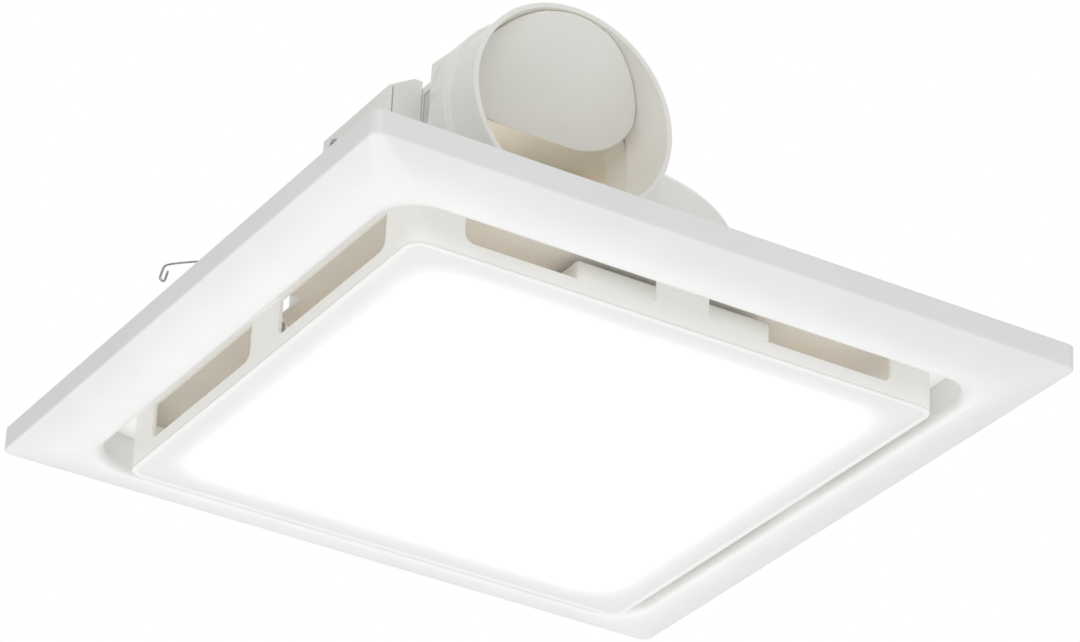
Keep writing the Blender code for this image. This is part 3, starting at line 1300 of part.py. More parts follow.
def make_box_contents(cream, black):
    """The terminal block inside the junction box and the cable gland in its back end."""
    wall_side = outlet_left - FIT_GAP - BOX_WALL - FIT_GAP
    block = box("terminal_block", (wall_side - BLOCK_DEPTH, BLOCK_BACK - BLOCK_LENGTH, BLOCK_BOTTOM),
                (wall_side, BLOCK_BACK, BLOCK_BOTTOM + BLOCK_HEIGHT), cream)
    pitch = BLOCK_LENGTH / BLOCK_POLES
    entries = []
    for pole in range(BLOCK_POLES):
        middle = BLOCK_BACK - pitch * (pole + POLE_MIDDLE_SHARE)
        entries.append(box("entry", (wall_side - BLOCK_DEPTH / 2 - BLOCK_ENTRY / 2, middle - BLOCK_ENTRY / 2,
                                     BLOCK_BOTTOM - CUT_OVERRUN),
                           (wall_side - BLOCK_DEPTH / 2 + BLOCK_ENTRY / 2, middle + BLOCK_ENTRY / 2,
                            BLOCK_BOTTOM + BLOCK_HEIGHT + CUT_OVERRUN)))
    cut(block, merged("block_entries", entries))
    inside = BOX_BACK - BOX_WALL - FIT_GAP
    outside = BOX_BACK + FIT_GAP
    gland = lathe("cable_gland", (
        (GLAND_RADIUS, outside),
        (GLAND_RADIUS, outside + GLAND_LENGTH * GLAND_NUT_SHARE),
        (GLAND_NECK, outside + GLAND_LENGTH),
        (GLAND_BORE, outside + GLAND_LENGTH),
        (GLAND_BORE, inside - GLAND_INNER_LENGTH),
        (GLAND_RADIUS, inside - GLAND_INNER_LENGTH),
        (GLAND_RADIUS, inside),
        (GLAND_NECK, inside),
        (GLAND_NECK, outside),
    ), GLAND_SEGMENTS, black)
    turned(gland, Matrix.Rotation(-math.pi / 2, 4, "X"))
    turned(gland, Matrix.Translation((gland_x(), 0, GLAND_HEIGHT)))


def make_capacitor(black):
    """The run capacitor: a soft-edged block with a foot tab, on the base plate."""
    low = BASE_PLATE_TOP + FIT_GAP
    left = base_wall_half - CAPACITOR_SIDE_GAP - CAPACITOR_LENGTH / 2
    front = base_wall_half - CAPACITOR_BACK_GAP - CAPACITOR_WIDTH / 2
    body = box("run_capacitor", (left, front, low),
               (left + CAPACITOR_LENGTH, front + CAPACITOR_WIDTH, low + CAPACITOR_HEIGHT), black)
    bevelled(body, CAPACITOR_EDGE, EDGE_STEPS)
    tab = box("tab", (left - CAPACITOR_TAB_LENGTH, front + CAPACITOR_TAB_INSET, low),
              (left + CAPACITOR_TAB_OVERLAP, front + CAPACITOR_WIDTH - CAPACITOR_TAB_INSET,
               low + CAPACITOR_TAB_THICKNESS))
    return join(body, tab)


def facing(made, side):
    """A piece made for the right side (+X), turned half round for the left side."""
    return turned(made, Matrix.Rotation(0 if side > 0 else math.pi, 4, "Z"))


def make_clip_bracket(name, side, steel):
    """The clip's bracket: a foot on the base plate, a riser, and two ears for the pin."""
    low = BASE_PLATE_TOP + FIT_GAP
    high = CLIP_PIVOT_Z + CLIP_TOP_RISE
    front = -CLIP_PIVOT_Y - CLIP_WIDTH / 2
    back = -CLIP_PIVOT_Y + CLIP_WIDTH / 2
    sheet = CLIP_SHEET
    bend = [(clip_riser_x, low), (clip_foot_x, low), (clip_foot_x, low + sheet),
            (clip_riser_x + sheet, low + sheet), (clip_riser_x + sheet, high), (clip_riser_x, high)]
    bracket = along_y(name, bend, front, back, steel)
    ears = [box("ear", (clip_riser_x + sheet / 2, place, CLIP_PIVOT_Z - CLIP_EAR_DROP),
                (base_wall_half, place + sheet, high - CLIP_EAR_INSET))
            for place in (front + CLIP_EAR_INSET, back - CLIP_EAR_INSET - sheet)]
    bore = pin_rod(CLIP_PIN_RADIUS + FIT_GAP, front - CUT_OVERRUN, back + CUT_OVERRUN)
    tools = [merged("bracket_ears", ears), bore]
    for piece in [bracket] + tools:
        facing(piece, side)
    join(bracket, tools[0])
    cut(bracket, tools[1])


def pin_rod(radius, start, end):
    """A rod along Y on the right clip's pivot."""
    rod = lathe("rod", ((radius, start), (radius, end)), CLIP_PIN_SEGMENTS, bored=False)
    rod = turned(rod, Matrix.Rotation(-math.pi / 2, 4, "X"))
    return turned(rod, Matrix.Translation((clip_pivot_x, 0, CLIP_PIVOT_Z)))


def make_clip_pin(name, side, steel):
    """The headed pin through the bracket's ears."""
    front = -CLIP_PIVOT_Y - CLIP_WIDTH / 2 - FIT_GAP
    back = -CLIP_PIVOT_Y + CLIP_WIDTH / 2 + FIT_GAP
    pin = lathe(name, (
        (CLIP_PIN_HEAD, front - CLIP_PIN_HEAD_LENGTH),
        (CLIP_PIN_HEAD, front),
        (CLIP_PIN_RADIUS, front),
        (CLIP_PIN_RADIUS, back + CLIP_PIN_HEAD_LENGTH),
    ), CLIP_PIN_SEGMENTS, steel, bored=False)
    pin = turned(pin, Matrix.Rotation(-math.pi / 2, 4, "X"))
    pin = turned(pin, Matrix.Translation((clip_pivot_x, 0, CLIP_PIVOT_Z)))
    facing(pin, side)


def clip_points():
    """The right clip's wire: a tail down the riser, the coil round the pin, the arm and its eye."""
    pitch = CLIP_WIRE_RADIUS * 2 + CLIP_COIL_SPACE
    length = pitch * CLIP_COIL_TURNS
    first = -CLIP_PIVOT_Y - length / 2
    points = [(clip_pivot_x - CLIP_COIL_RADIUS, first, CLIP_PIVOT_Z - CLIP_TAIL_LENGTH)]
    leave = THREE_QUARTER_TURN - CLIP_ARM_SLOPE
    turn_span = FULL_TURN * (CLIP_COIL_TURNS - 1) + leave - math.pi
    steps = round(turn_span / FULL_TURN * CLIP_COIL_POINTS)
    for step in range(steps + 1):
        turned_by = turn_span * step / steps
        angle = math.pi - turned_by
        place = first + pitch * turned_by / FULL_TURN
        points.append((clip_pivot_x + CLIP_COIL_RADIUS * math.cos(angle), place,
                       CLIP_PIVOT_Z + CLIP_COIL_RADIUS * math.sin(angle)))
    return points


def clip_arm_points(start):
    """The arm from the coil out over the ceiling board, and the eye that hangs from its end."""
    slope = Vector((math.cos(CLIP_ARM_SLOPE), 0, -math.sin(CLIP_ARM_SLOPE)))
    start = Vector(start)
    run = (clip_arm_reach - start.x) / slope.x
    bend = start + slope * run
    down = Vector((math.sin(CLIP_EYE_LEAN), 0, -math.cos(CLIP_EYE_LEAN)))
    inward = Vector((-math.cos(CLIP_EYE_LEAN), 0, -math.sin(CLIP_EYE_LEAN)))
    points = [start + slope * (run - CLIP_EYE_RADIUS)]
    points.append(bend + down * CLIP_EYE_RADIUS)
    low = bend + down * CLIP_EYE_LENGTH
    centre = low + inward * CLIP_EYE_RADIUS
    for step in range(CLIP_EYE_STEPS + 1):
        turn = math.pi * step / CLIP_EYE_STEPS
        across = inward * CLIP_EYE_RADIUS * math.cos(turn)
        points.append(centre - across + down * CLIP_EYE_RADIUS * math.sin(turn))
    points.append(points[-1] - down * (CLIP_EYE_RETURN - CLIP_EYE_RADIUS))
    return [tuple(point) for point in points]


def make_clip_spring(name, side, steel):
    """A spring clip's wire, with its origin on the pin's axis."""
    points = clip_points()
    points += clip_arm_points(points[-1])
    gap = least_self_gap(points, CLIP_WIRE_RADIUS, CLIP_COIL_RADIUS * 2)
    print(f"{name}: least gap to itself {gap * 1000:.2f} mm")
    pivot = (side * clip_pivot_x, -side * CLIP_PIVOT_Y, CLIP_PIVOT_Z)
    local = [(side * x - pivot[0], side * y - pivot[1], z - pivot[2]) for x, y, z in points]
    made = wire(name, local, CLIP_WIRE_RADIUS, steel)
    made.location = pivot


def pull_points():
    """The right pull spring's wire: a leg with its hook, the coil round the hanger pin, and the other leg."""
    pitch = PULL_WIRE_RADIUS * 2 + PULL_COIL_SPACE
    coil_turns = PULL_COIL_TURNS - LAST_TURN_SHARE
    steps = round(PULL_COIL_POINTS * coil_turns)
    span = FULL_TURN * coil_turns
    length = pitch * span / FULL_TURN
    first = pull_x - length / 2
    coil = []
    for step in range(steps + 1):
        angle = math.pi + span * step / steps
        coil.append((first + length * step / steps, PULL_COIL_RADIUS * math.cos(angle),
                     hanger_height + PULL_COIL_RADIUS * math.sin(angle)))
    hook = [(first, -PULL_LEG_SPREAD - PULL_HOOK_REACH, PULL_LEG_TOP - PULL_HOOK_DROP),
            (first, -PULL_LEG_SPREAD, PULL_LEG_TOP)]
    other = [(first + length, PULL_LEG_SPREAD, PULL_LEG_TOP),
             (first + length, PULL_LEG_SPREAD + PULL_HOOK_REACH, PULL_LEG_TOP - PULL_HOOK_DROP)]
    return hook + coil + other


def make_pull_spring(name, side, steel):
    """A pull spring: two legs that slide through the base plate's slot, with hooks that stop them there."""
    points = pull_points()
    gap = least_self_gap(points, PULL_WIRE_RADIUS, PULL_COIL_RADIUS * 2)
    print(f"{name}: least gap to itself {gap * 1000:.2f} mm")
    return wire(name, [(side * x, side * y, z) for x, y, z in points], PULL_WIRE_RADIUS, steel)


def main():
    for leftover in list(bpy.data.objects):
        bpy.data.objects.remove(leftover)
    white = make_material("white fascia plastic", (0.86, 0.86, 0.85), 0.35)
    opal = make_material("opal diffuser", (0.93, 0.93, 0.92), 0.30)
    acrylic = make_material("clear acrylic", (0.80, 0.84, 0.84), 0.10)
    sheet = make_material("white reflector sheet", (0.90, 0.90, 0.90), 0.60)
    board = make_material("white circuit board", (0.85, 0.85, 0.80), 0.50)
    grey = make_material("warm grey housing plastic", (0.62, 0.63, 0.60), 0.45)
    dark = make_material("grey impeller plastic", (0.35, 0.36, 0.36), 0.50)
    driver = make_material("light driver case", (0.70, 0.70, 0.68), 0.45)
    foam = make_material("grey foam", (0.30, 0.30, 0.30), 0.90)
    rubber = make_material("black rubber", (0.03, 0.03, 0.03), 0.80)
    black = make_material("black plastic", (0.04, 0.04, 0.04), 0.40)
    cream = make_material("cream nylon", (0.80, 0.77, 0.66), 0.50)
    aluminium = make_material("aluminium sheet", (0.75, 0.76, 0.77), 0.35, 1.0)
    zinc = make_material("zinc plated steel", (0.60, 0.61, 0.62), 0.35, 1.0)
    bright = make_material("bright steel", (0.65, 0.66, 0.67), 0.20, 1.0)
    core = make_material("laminated core steel", (0.25, 0.26, 0.28), 0.50, 1.0)
    copper = make_material("enamelled copper", (0.55, 0.25, 0.10), 0.35, 1.0)
    spring = make_material("spring wire", (0.50, 0.51, 0.53), 0.28, 1.0)
    make_fascia(white)
    make_light_tray(white)
    make_lamp({"opal": opal, "acrylic": acrylic, "sheet": sheet, "board": board, "aluminium": aluminium,
               "driver": driver})
    make_lamp_screws(zinc)
    make_base(grey, foam)
    make_inlet_ring(white)
    make_scroll(grey)
    make_housing_screws(zinc)
    make_collar(grey)
    make_damper(grey, bright)
    make_impeller(dark)
    make_motor({"steel": zinc, "bright": bright, "core": core, "copper": copper})
    make_motor_mount(zinc, rubber)
    make_junction_box(grey, zinc)
    make_box_contents(cream, black)
    make_capacitor(black)
    for side, where in ((-1, "left"), (1, "right")):
        make_clip_bracket("clip_bracket_" + where, side, zinc)
        make_clip_pin("clip_pin_" + where, side, bright)
        make_clip_spring("clip_spring_" + where, side, spring)
        make_pull_spring("pull_spring_" + where, side, spring)


main()
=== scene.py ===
"""Looks of the square ceiling exhaust fan with its lit panel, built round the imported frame.

Named sizes are millimetres, and metres where the name's comment says so. +Z points up into the ceiling void,
-Y towards the round duct, -X towards the junction box.
"""

import json
import math
import bmesh
import bpy
import numpy as np
from mathutils import Matrix, Vector


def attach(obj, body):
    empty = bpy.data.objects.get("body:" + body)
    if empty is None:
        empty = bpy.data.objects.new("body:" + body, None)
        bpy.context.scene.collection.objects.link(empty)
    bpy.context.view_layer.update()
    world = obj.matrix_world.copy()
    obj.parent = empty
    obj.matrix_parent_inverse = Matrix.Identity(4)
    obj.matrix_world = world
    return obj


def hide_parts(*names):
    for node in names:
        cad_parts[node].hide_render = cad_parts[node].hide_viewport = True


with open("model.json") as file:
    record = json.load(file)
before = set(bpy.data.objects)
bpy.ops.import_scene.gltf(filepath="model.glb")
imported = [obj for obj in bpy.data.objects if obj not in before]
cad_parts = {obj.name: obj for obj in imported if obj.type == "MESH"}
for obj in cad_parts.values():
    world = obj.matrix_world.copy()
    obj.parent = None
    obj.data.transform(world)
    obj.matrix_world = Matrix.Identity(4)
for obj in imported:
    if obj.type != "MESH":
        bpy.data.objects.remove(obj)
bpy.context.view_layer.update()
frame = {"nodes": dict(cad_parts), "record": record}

MM = 0.001
QUARTER = math.pi / 2
FULL = 2 * math.pi

# Meshes: points nearer than this many metres are one, shorter edges go, and flatter folds are shaded smooth
WELD = 2e-6
SLIVER = 1e-7
SMOOTH_ANGLE = math.radians(32)

# Camera, fitted to the square fascia in the photograph: its axes, its place and reach in metres, its lens
CAMERA_RIGHT = (0.85526, -0.51653, 0.04147)
CAMERA_UP = (-0.27832, -0.39036, 0.87759)
CAMERA_BACK = (-0.43711, -0.76212, -0.47762)
CAMERA_PLACE = (-0.9213, -1.6167, -0.9751)
CAMERA_LENS = 152.31
CAMERA_SENSOR = 36.0
CAMERA_FAR = 100.0

# The floor: its depth under the ceiling plane and its side, in metres
FLOOR_DROP = 2.35
FLOOR_SIDE = 40.0

# Soft lights: name, place and aim in metres, width and height in metres, power in watts, colour
WHITE, WARM = "#FFFFFF", "#FFF3E3"
LIGHTS = (
    ("key", (-1.3, -1.1, -1.5), (0, 0, 0), (1.6, 1.6), 8.5, WHITE),
    ("below", (0.35, 1.2, -1.75), (0, 0, 0), (2.0, 2.0), 22, WHITE),
    ("fill", (1.6, -1.4, -0.3), (0, 0, 0), (1.6, 1.6), 4, WHITE),
    ("front", (-1.2, -2.2, 0.5), (0, 0, 0.05), (1.2, 1.2), 7, WHITE),
    ("top", (0.3, 0.4, 2.0), (0, 0, 0), (1.8, 1.8), 14, WHITE),
    ("duct glow", (-0.085, -0.084, 0.04), (-0.005, -0.07, 0.07), (0.03, 0.03), 0.012, WARM),
    ("tongue glow", (0.03, -0.045, 0.0705), (-0.01, -0.075, 0.076), (0.02, 0.006), 0.016, WARM),
    ("flap glow", (-0.064, -0.112, 0.085), (-0.064, -0.125, 0.107), (0.05, 0.01), 0.003, WARM),
    ("slot glow", (0, 0, -0.0195), (0, 0, 0.05), (0.25, 0.25), 0.07, "#FFEBD3"),
    ("front slot glow", (0, -0.131, -0.0125), (0, -0.1, -0.0125), (0.22, 0.012), 0.007, WHITE),
)
SURROUND_SEEN, SURROUND_LIGHT = 1.0, 0.67

# Finishes: the part of a noise over which colour and gloss drift, and each noise's detail
DRIFT_LOW, DRIFT_HIGH = 0.3, 0.7
COLOUR_DETAIL, METAL_DETAIL, GLOSS_DETAIL, GRAIN_DETAIL = 3.0, 5.0, 4.0, 2.0
# Plastics: size of colour patches and of gloss patches, the gloss's drift down and up, the grain's strength
PLASTIC_PATCH, PLASTIC_CLOUD, PLASTIC_DRIFT, PLASTIC_GRAIN = 45, 6, (0.04, 0.05), 0.35
PLASTIC_IOR, ACRYLIC_IOR, COAT_ROUGHNESS = 1.53, 1.49, 0.15
SCATTER_RADIUS = (0.004, 0.004, 0.0036)
# Metals: the gloss's drift down and up, the marks' strength and depth
METAL_DRIFT, METAL_GRAIN, METAL_DEPTH = (0.07, 0.09), 0.3, 0.01
# The lit panel's glow: full to one distance from the middle lines and gone at another, with its two strengths
GLOW_FULL_TO, GLOW_GONE_AT, GLOW_EDGE, GLOW_MIDDLE = 92.0, 132.0, 0.03, 0.9
# The tray wall's painted glow: emission on a part that is no lamp, growing between two heights
WALL_DARK_TO, WALL_LIT_FROM, WALL_DARK, WALL_LIT = -27.3, -26.2, 0.01, 0.16
# The rating plate's printed frame: its distance from the edge and half the line
FRAME_INSET, FRAME_HALF_LINE = 1.1, 0.18

SLOT_OF = {row["node"]: row["material_slot"] for row in frame["record"]["subparts"]}
BODY_OF = {node: body for body, nodes in frame["record"]["behaviour"]["bodies"].items() for node in nodes}


# Materials

def linear(code):
    """sRGB hex to linear colour."""
    srgb = [int(code[place:place + 2], 16) / 255 for place in (1, 3, 5)]
    return [c / 12.92 if c <= 0.04045 else ((c + 0.055) / 1.055) ** 2.4 for c in srgb] + [1.0]


def add(tree, kind, sockets=None, **settings):
    """Adds one node with its settings. Each socket gets a value, or a link to another node's output."""
    made = tree.nodes.new(kind)
    for name, value in settings.items():
        setattr(made, name, value)
    for socket, value in (sockets or {}).items():
        if isinstance(value, bpy.types.NodeSocket):
            tree.links.new(value, made.inputs[socket])
        else:
            made.inputs[socket].default_value = value
    return made


def blank(name):
    """A new material's node tree and its surface shader."""
    made = bpy.data.materials.new(name)
    made.use_nodes = True
    tree = made.node_tree
    return made, tree, tree.nodes["Principled BSDF"]


def per_size(size_mm):
    """The noise scale that gives features of a size in millimetres."""
    return 1 / (size_mm * MM)


def noise(tree, place, size_mm, detail):
    """Noise with features of a size in millimetres."""
    made = add(tree, "ShaderNodeTexNoise", {"Vector": place, "Scale": per_size(size_mm), "Detail": detail})
    return made.outputs["Fac"]


def ranged(tree, value, start, end, low, high, **settings):
    """A number brought from one range into another."""
    return add(tree, "ShaderNodeMapRange", {"Value": value, "From Min": start, "From Max": end,
                                            "To Min": low, "To Max": high}, **settings).outputs["Result"]


def counted(tree, operation, *values):
    """The result of one operation on values or outputs."""
    return add(tree, "ShaderNodeMath", dict(enumerate(values)), operation=operation).outputs["Value"]


def mottled(tree, place, low, high, size_mm, detail=COLOUR_DETAIL):
    """A colour that drifts between two hex values over patches of a size."""
    ramp = add(tree, "ShaderNodeValToRGB", {"Fac": noise(tree, place, size_mm, detail)})
    ramp.color_ramp.elements[0].position = DRIFT_LOW
    ramp.color_ramp.elements[1].position = DRIFT_HIGH
    ramp.color_ramp.elements[0].color = linear(low)
    ramp.color_ramp.elements[1].color = linear(high)
    return ramp.outputs["Color"]


def spread(tree, place, low, high, size_mm):
    """A number that drifts between two values over patches of a size, for roughness."""
    return ranged(tree, noise(tree, place, size_mm, GLOSS_DETAIL), DRIFT_LOW, DRIFT_HIGH, low, high)


def grained(tree, place, size_mm, depth_mm, strength):
    """A bump from fine grain of a size."""
    return add(tree, "ShaderNodeBump", {"Height": noise(tree, place, size_mm, GRAIN_DETAIL),
                                        "Distance": depth_mm * MM, "Strength": strength}).outputs["Normal"]


def moulded(name, low, high, rough, grain_mm, grain_depth_mm, coat=0.0, sub=0.0):
    """Injection-moulded plastic: an even colour with a faint drift, and the tool's fine grain."""
    made, tree, surface = blank(name)
    place = add(tree, "ShaderNodeTexCoord").outputs["Object"]
    tree.links.new(mottled(tree, place, low, high, PLASTIC_PATCH), surface.inputs["Base Color"])
    gloss = spread(tree, place, rough - PLASTIC_DRIFT[0], rough + PLASTIC_DRIFT[1], PLASTIC_CLOUD)
    tree.links.new(gloss, surface.inputs["Roughness"])
    tree.links.new(grained(tree, place, grain_mm, grain_depth_mm, PLASTIC_GRAIN), surface.inputs["Normal"])
    surface.inputs["IOR"].default_value = PLASTIC_IOR
    surface.inputs["Coat Weight"].default_value = coat
    surface.inputs["Coat Roughness"].default_value = COAT_ROUGHNESS
    surface.inputs["Subsurface Weight"].default_value = sub
    surface.inputs["Subsurface Radius"].default_value = SCATTER_RADIUS
    return made


def metal(name, low, high, rough, patch_mm, grain_mm, stretch=(1, 1, 1)):
    """Bare or plated metal: a drifting colour, cloudy gloss, and marks drawn along one direction."""
    made, tree, surface = blank(name)
    place = add(tree, "ShaderNodeTexCoord").outputs["Object"]
    drawn = add(tree, "ShaderNodeMapping", {"Vector": place, "Scale": stretch}).outputs["Vector"]
    tree.links.new(mottled(tree, place, low, high, patch_mm, METAL_DETAIL), surface.inputs["Base Color"])
    gloss = spread(tree, drawn, rough - METAL_DRIFT[0], rough + METAL_DRIFT[1], grain_mm)
    tree.links.new(gloss, surface.inputs["Roughness"])
    tree.links.new(grained(tree, drawn, grain_mm, METAL_DEPTH, METAL_GRAIN), surface.inputs["Normal"])
    surface.inputs["Metallic"].default_value = 1.0
    return made


def make_diffuser_material():
    """Opal acrylic over an edge-lit guide: it glows evenly, and dims towards the edges of the tray."""
    made, tree, surface = blank("opal acrylic, lit")
    place = add(tree, "ShaderNodeTexCoord").outputs["Object"]
    axes = add(tree, "ShaderNodeSeparateXYZ", {"Vector": place})
    reach = [ranged(tree, counted(tree, "ABSOLUTE", axes.outputs[axis]), GLOW_FULL_TO * MM, GLOW_GONE_AT * MM,
                    1.0, 0.0, interpolation_type="SMOOTHERSTEP") for axis in ("X", "Y")]
    glow = ranged(tree, counted(tree, "MULTIPLY", *reach), 0.0, 1.0, GLOW_EDGE, GLOW_MIDDLE)
    tree.links.new(mottled(tree, place, "#DCDCDC", "#DFDFDF", 60), surface.inputs["Base Color"])
    tree.links.new(glow, surface.inputs["Emission Strength"])
    surface.inputs["Emission Color"].default_value = linear("#FFFFFE")
    tree.links.new(spread(tree, place, 0.33, 0.36, 25), surface.inputs["Roughness"])
    tree.links.new(grained(tree, place, 0.9, 0.004, 0.2), surface.inputs["Normal"])
    surface.inputs["IOR"].default_value = ACRYLIC_IOR
    return made


def make_painted_glow_tray_material():
    """White ABS of the light box, with a painted glow: emission stands in for the lamp's light through its
    thin wall, and it fades out towards the wall's bottom edge."""
    made = moulded("thin white ABS, painted glow", "#E7E7E5", "#EBEBE9", 0.36, 0.8, 0.006)
    tree = made.node_tree
    surface = tree.nodes["Principled BSDF"]
    place = add(tree, "ShaderNodeTexCoord").outputs["Object"]
    axes = add(tree, "ShaderNodeSeparateXYZ", {"Vector": place})
    # Painted glow: emission on the tray wall, dark at its bottom edge and rising above it
    glow = ranged(tree, axes.outputs["Z"], WALL_DARK_TO * MM, WALL_LIT_FROM * MM, WALL_DARK, WALL_LIT)
    surface.inputs["Emission Color"].default_value = linear("#FFFDF6")
    tree.links.new(glow, surface.inputs["Emission Strength"])
    return made


def make_clear_material():
    """Clear cast acrylic: glassy, faintly green, with a slight drift in its gloss."""
    made, tree, surface = blank("clear cast acrylic")
    place = add(tree, "ShaderNodeTexCoord").outputs["Object"]
    tree.links.new(mottled(tree, place, "#E3ECEA", "#EEF3F2", 30), surface.inputs["Base Color"])
    tree.links.new(spread(tree, place, 0.03, 0.09, 12), surface.inputs["Roughness"])
    surface.inputs["IOR"].default_value = ACRYLIC_IOR
    surface.inputs["Transmission Weight"].default_value = 0.85
    return made


def make_foam_material():
    """Closed-cell foam: matt mid grey with fine open pores where it was cut."""
    made, tree, surface = blank("closed-cell foam")
    place = add(tree, "ShaderNodeTexCoord").outputs["Object"]
    cells = add(tree, "ShaderNodeTexVoronoi", {"Vector": place, "Scale": per_size(0.9)})
    ramp = add(tree, "ShaderNodeValToRGB", {"Fac": cells.outputs["Distance"]})
    ramp.color_ramp.elements[0].color = linear("#8B8C89")
    ramp.color_ramp.elements[1].color = linear("#B3B4B0")
    tree.links.new(ramp.outputs["Color"], surface.inputs["Base Color"])
    bump = add(tree, "ShaderNodeBump", {"Height": cells.outputs["Distance"], "Distance": 0.2 * MM,
                                        "Strength": 0.6})
    tree.links.new(bump.outputs["Normal"], surface.inputs["Normal"])
    tree.links.new(spread(tree, place, 0.85, 0.95, 3), surface.inputs["Roughness"])
    surface.inputs["Sheen Weight"].default_value = 0.1
    return made


def make_label_material(middle, half):
    """Printed polyester film: silvery white with a thin dark frame line a little inside its edge. The line is
    drawn where the larger of a point's two distances past the frame is nearly nothing."""
    made, tree, surface = blank("printed polyester film")
    place = add(tree, "ShaderNodeTexCoord").outputs["Object"]
    axes = add(tree, "ShaderNodeSeparateXYZ", {"Vector": place})
    past = []
    for axis, centre, reach in (("Y", middle[0], half[0]), ("Z", middle[1], half[1])):
        off = counted(tree, "SUBTRACT", axes.outputs[axis], centre * MM)
        past.append(counted(tree, "SUBTRACT", counted(tree, "ABSOLUTE", off), (reach - FRAME_INSET) * MM))
    near = counted(tree, "ABSOLUTE", counted(tree, "MAXIMUM", *past))
    ink = counted(tree, "LESS_THAN", near, FRAME_HALF_LINE * MM)
    film = mottled(tree, place, "#C6C9CB", "#D0D3D4", 12)
    mix = add(tree, "ShaderNodeMix", {0: ink, 6: film, 7: linear("#5C5F66")}, data_type="RGBA")
    tree.links.new(mix.outputs[2], surface.inputs["Base Color"])
    tree.links.new(spread(tree, place, 0.28, 0.38, 5), surface.inputs["Roughness"])
    tree.links.new(grained(tree, place, 0.6, 0.01, 0.2), surface.inputs["Normal"])
    return made


def make_materials():
    """Every finish by its slot in the record."""
    return {
        # ABS, moulded against a fine satin tool: soft broad highlights, hardly any grain to see
        "fascia plastic": moulded("satin white ABS", "#E7E7E6", "#EBEBEA", 0.36, 0.8, 0.006, coat=0.06),
        # Opal acrylic, satin, glowing from the guide above it
        "opal diffuser": make_diffuser_material(),
        # Clear cast acrylic with polished faces
        "clear acrylic": make_clear_material(),
        # Polyester film with a chalky white side: flat white, no gloss
        "reflector sheet": moulded("white reflector film", "#EDEDEB", "#F2F2F0", 0.62, 1.2, 0.004),
        # Epoxy glass board under white solder lacquer
        "circuit board": moulded("white lacquered board", "#E6E6DD", "#ECECE4", 0.42, 0.9, 0.01),
        # Mill-finish aluminium: long rolling lines, a soft mirror
        "aluminium sheet": metal("mill aluminium sheet", "#C9CCCF", "#D6D8DA", 0.34, 30, 0.8, (0.06, 1, 1)),
        # Polycarbonate driver case, matt and slightly warm
        "driver case": moulded("light polycarbonate case", "#DEDEDB", "#E4E4E1", 0.42, 0.7, 0.015),
        # Bright zinc plate with a faint blue passivate: cloudy patches over a soft mirror
        "zinc steel": metal("bright zinc plate", "#B4B8BB", "#C8CACB", 0.30, 9, 0.5),
        # Polypropylene moulded against a spark-eroded tool: off-white, a little warm, low even gloss
        "housing plastic": moulded("off-white polypropylene", "#EDECE6", "#F1F0EA", 0.40, 0.7, 0.015),
        # Closed-cell foam, cut from a sheet
        "grey foam": make_foam_material(),
        # Ground bar: bright with turning lines
        "bright steel": metal("ground steel", "#BFC2C4", "#CDCFD1", 0.20, 14, 0.35, (1, 1, 0.1)),
        # Filled natural polypropylene wheel: beige and satin
        "impeller plastic": moulded("natural filled polypropylene", "#CFC7B6", "#D6CEBE", 0.48, 0.8, 0.015),
        # Stacked electrical steel: dark, lined across the stack
        "core steel": metal("stacked electrical steel", "#4B4D50", "#5D5F62", 0.45, 6, 0.5, (0.2, 0.2, 3)),
        # Varnished copper wire: red-brown and glossy, lined along the winding
        "enamelled copper": metal("varnished copper wire", "#8A4A24", "#A3602F", 0.30, 4, 0.5, (1, 1, 4)),
        # Moulded rubber: deep matt black
        "black rubber": moulded("moulded black rubber", "#1B1B1B", "#242424", 0.72, 0.6, 0.02),
        # Nylon and PBT fittings: black, slightly shiny
        "black plastic": moulded("black moulded nylon", "#1D1E1F", "#262728", 0.40, 0.6, 0.015),
        # Natural polyamide: cream and waxy
        "cream nylon": moulded("natural polyamide", "#D9D2B8", "#E1DBC4", 0.44, 0.6, 0.01, sub=0.05),
        # Cold-drawn spring wire: grey with fine lines along the wire
        "spring wire": metal("drawn spring wire", "#B2B5B7", "#C4C7C8", 0.28, 5, 0.4),
    }


# Surfaces

# A cap's inner ring as a share of its outer one; a soft corner's steps and its longest share of a side
HOLD_SHARE, SOFT_STEPS, SOFT_SHARE = 0.97, 3, 0.45
# Copies of CAD nodes: folds that are flat, edges that are broken, and triangles of a wire that make a pair
FLAT_ANGLE, BREAK_ANGLE = math.radians(0.6), math.radians(40)
PAIR_FOLD, PAIR_SHAPE = math.radians(50), math.radians(60)


def quads(rows, columns, wrap_rows, wrap_columns):
    """Corner numbers of the quads of a grid of points, row after row."""
    row, column = np.meshgrid(np.arange(rows if wrap_rows else rows - 1),
                              np.arange(columns if wrap_columns else columns - 1), indexing="ij")
    next_row, next_column = (row + 1) % rows, (column + 1) % columns
    corners = (row * columns + column, row * columns + next_column,
               next_row * columns + next_column, next_row * columns + column)
    return np.stack(corners, -1).reshape(-1, 4)


def sheet(grid, wrap_rows=False, wrap_columns=False):
    """A grid of points, rows by columns by 3, as one surface patch: its points and quads."""
    grid = np.asarray(grid, float)
    return grid.reshape(-1, 3), quads(grid.shape[0], grid.shape[1], wrap_rows, wrap_columns)


def capped(grid, middles=None):
    """A stack of closed rings, both ends drawn in to their middles by way of a ring a little inside each."""
    grid = np.asarray(grid, float)
    ends = []
    for ring, middle in zip((grid[0], grid[-1]), middles or (grid[0].mean(0), grid[-1].mean(0))):
        middle = np.broadcast_to(middle, ring.shape)
        ends.append((middle[None], (middle + (ring - middle) * HOLD_SHARE)[None]))
    return sheet(np.concatenate([*ends[0], grid, *ends[1][::-1]]), wrap_columns=True)


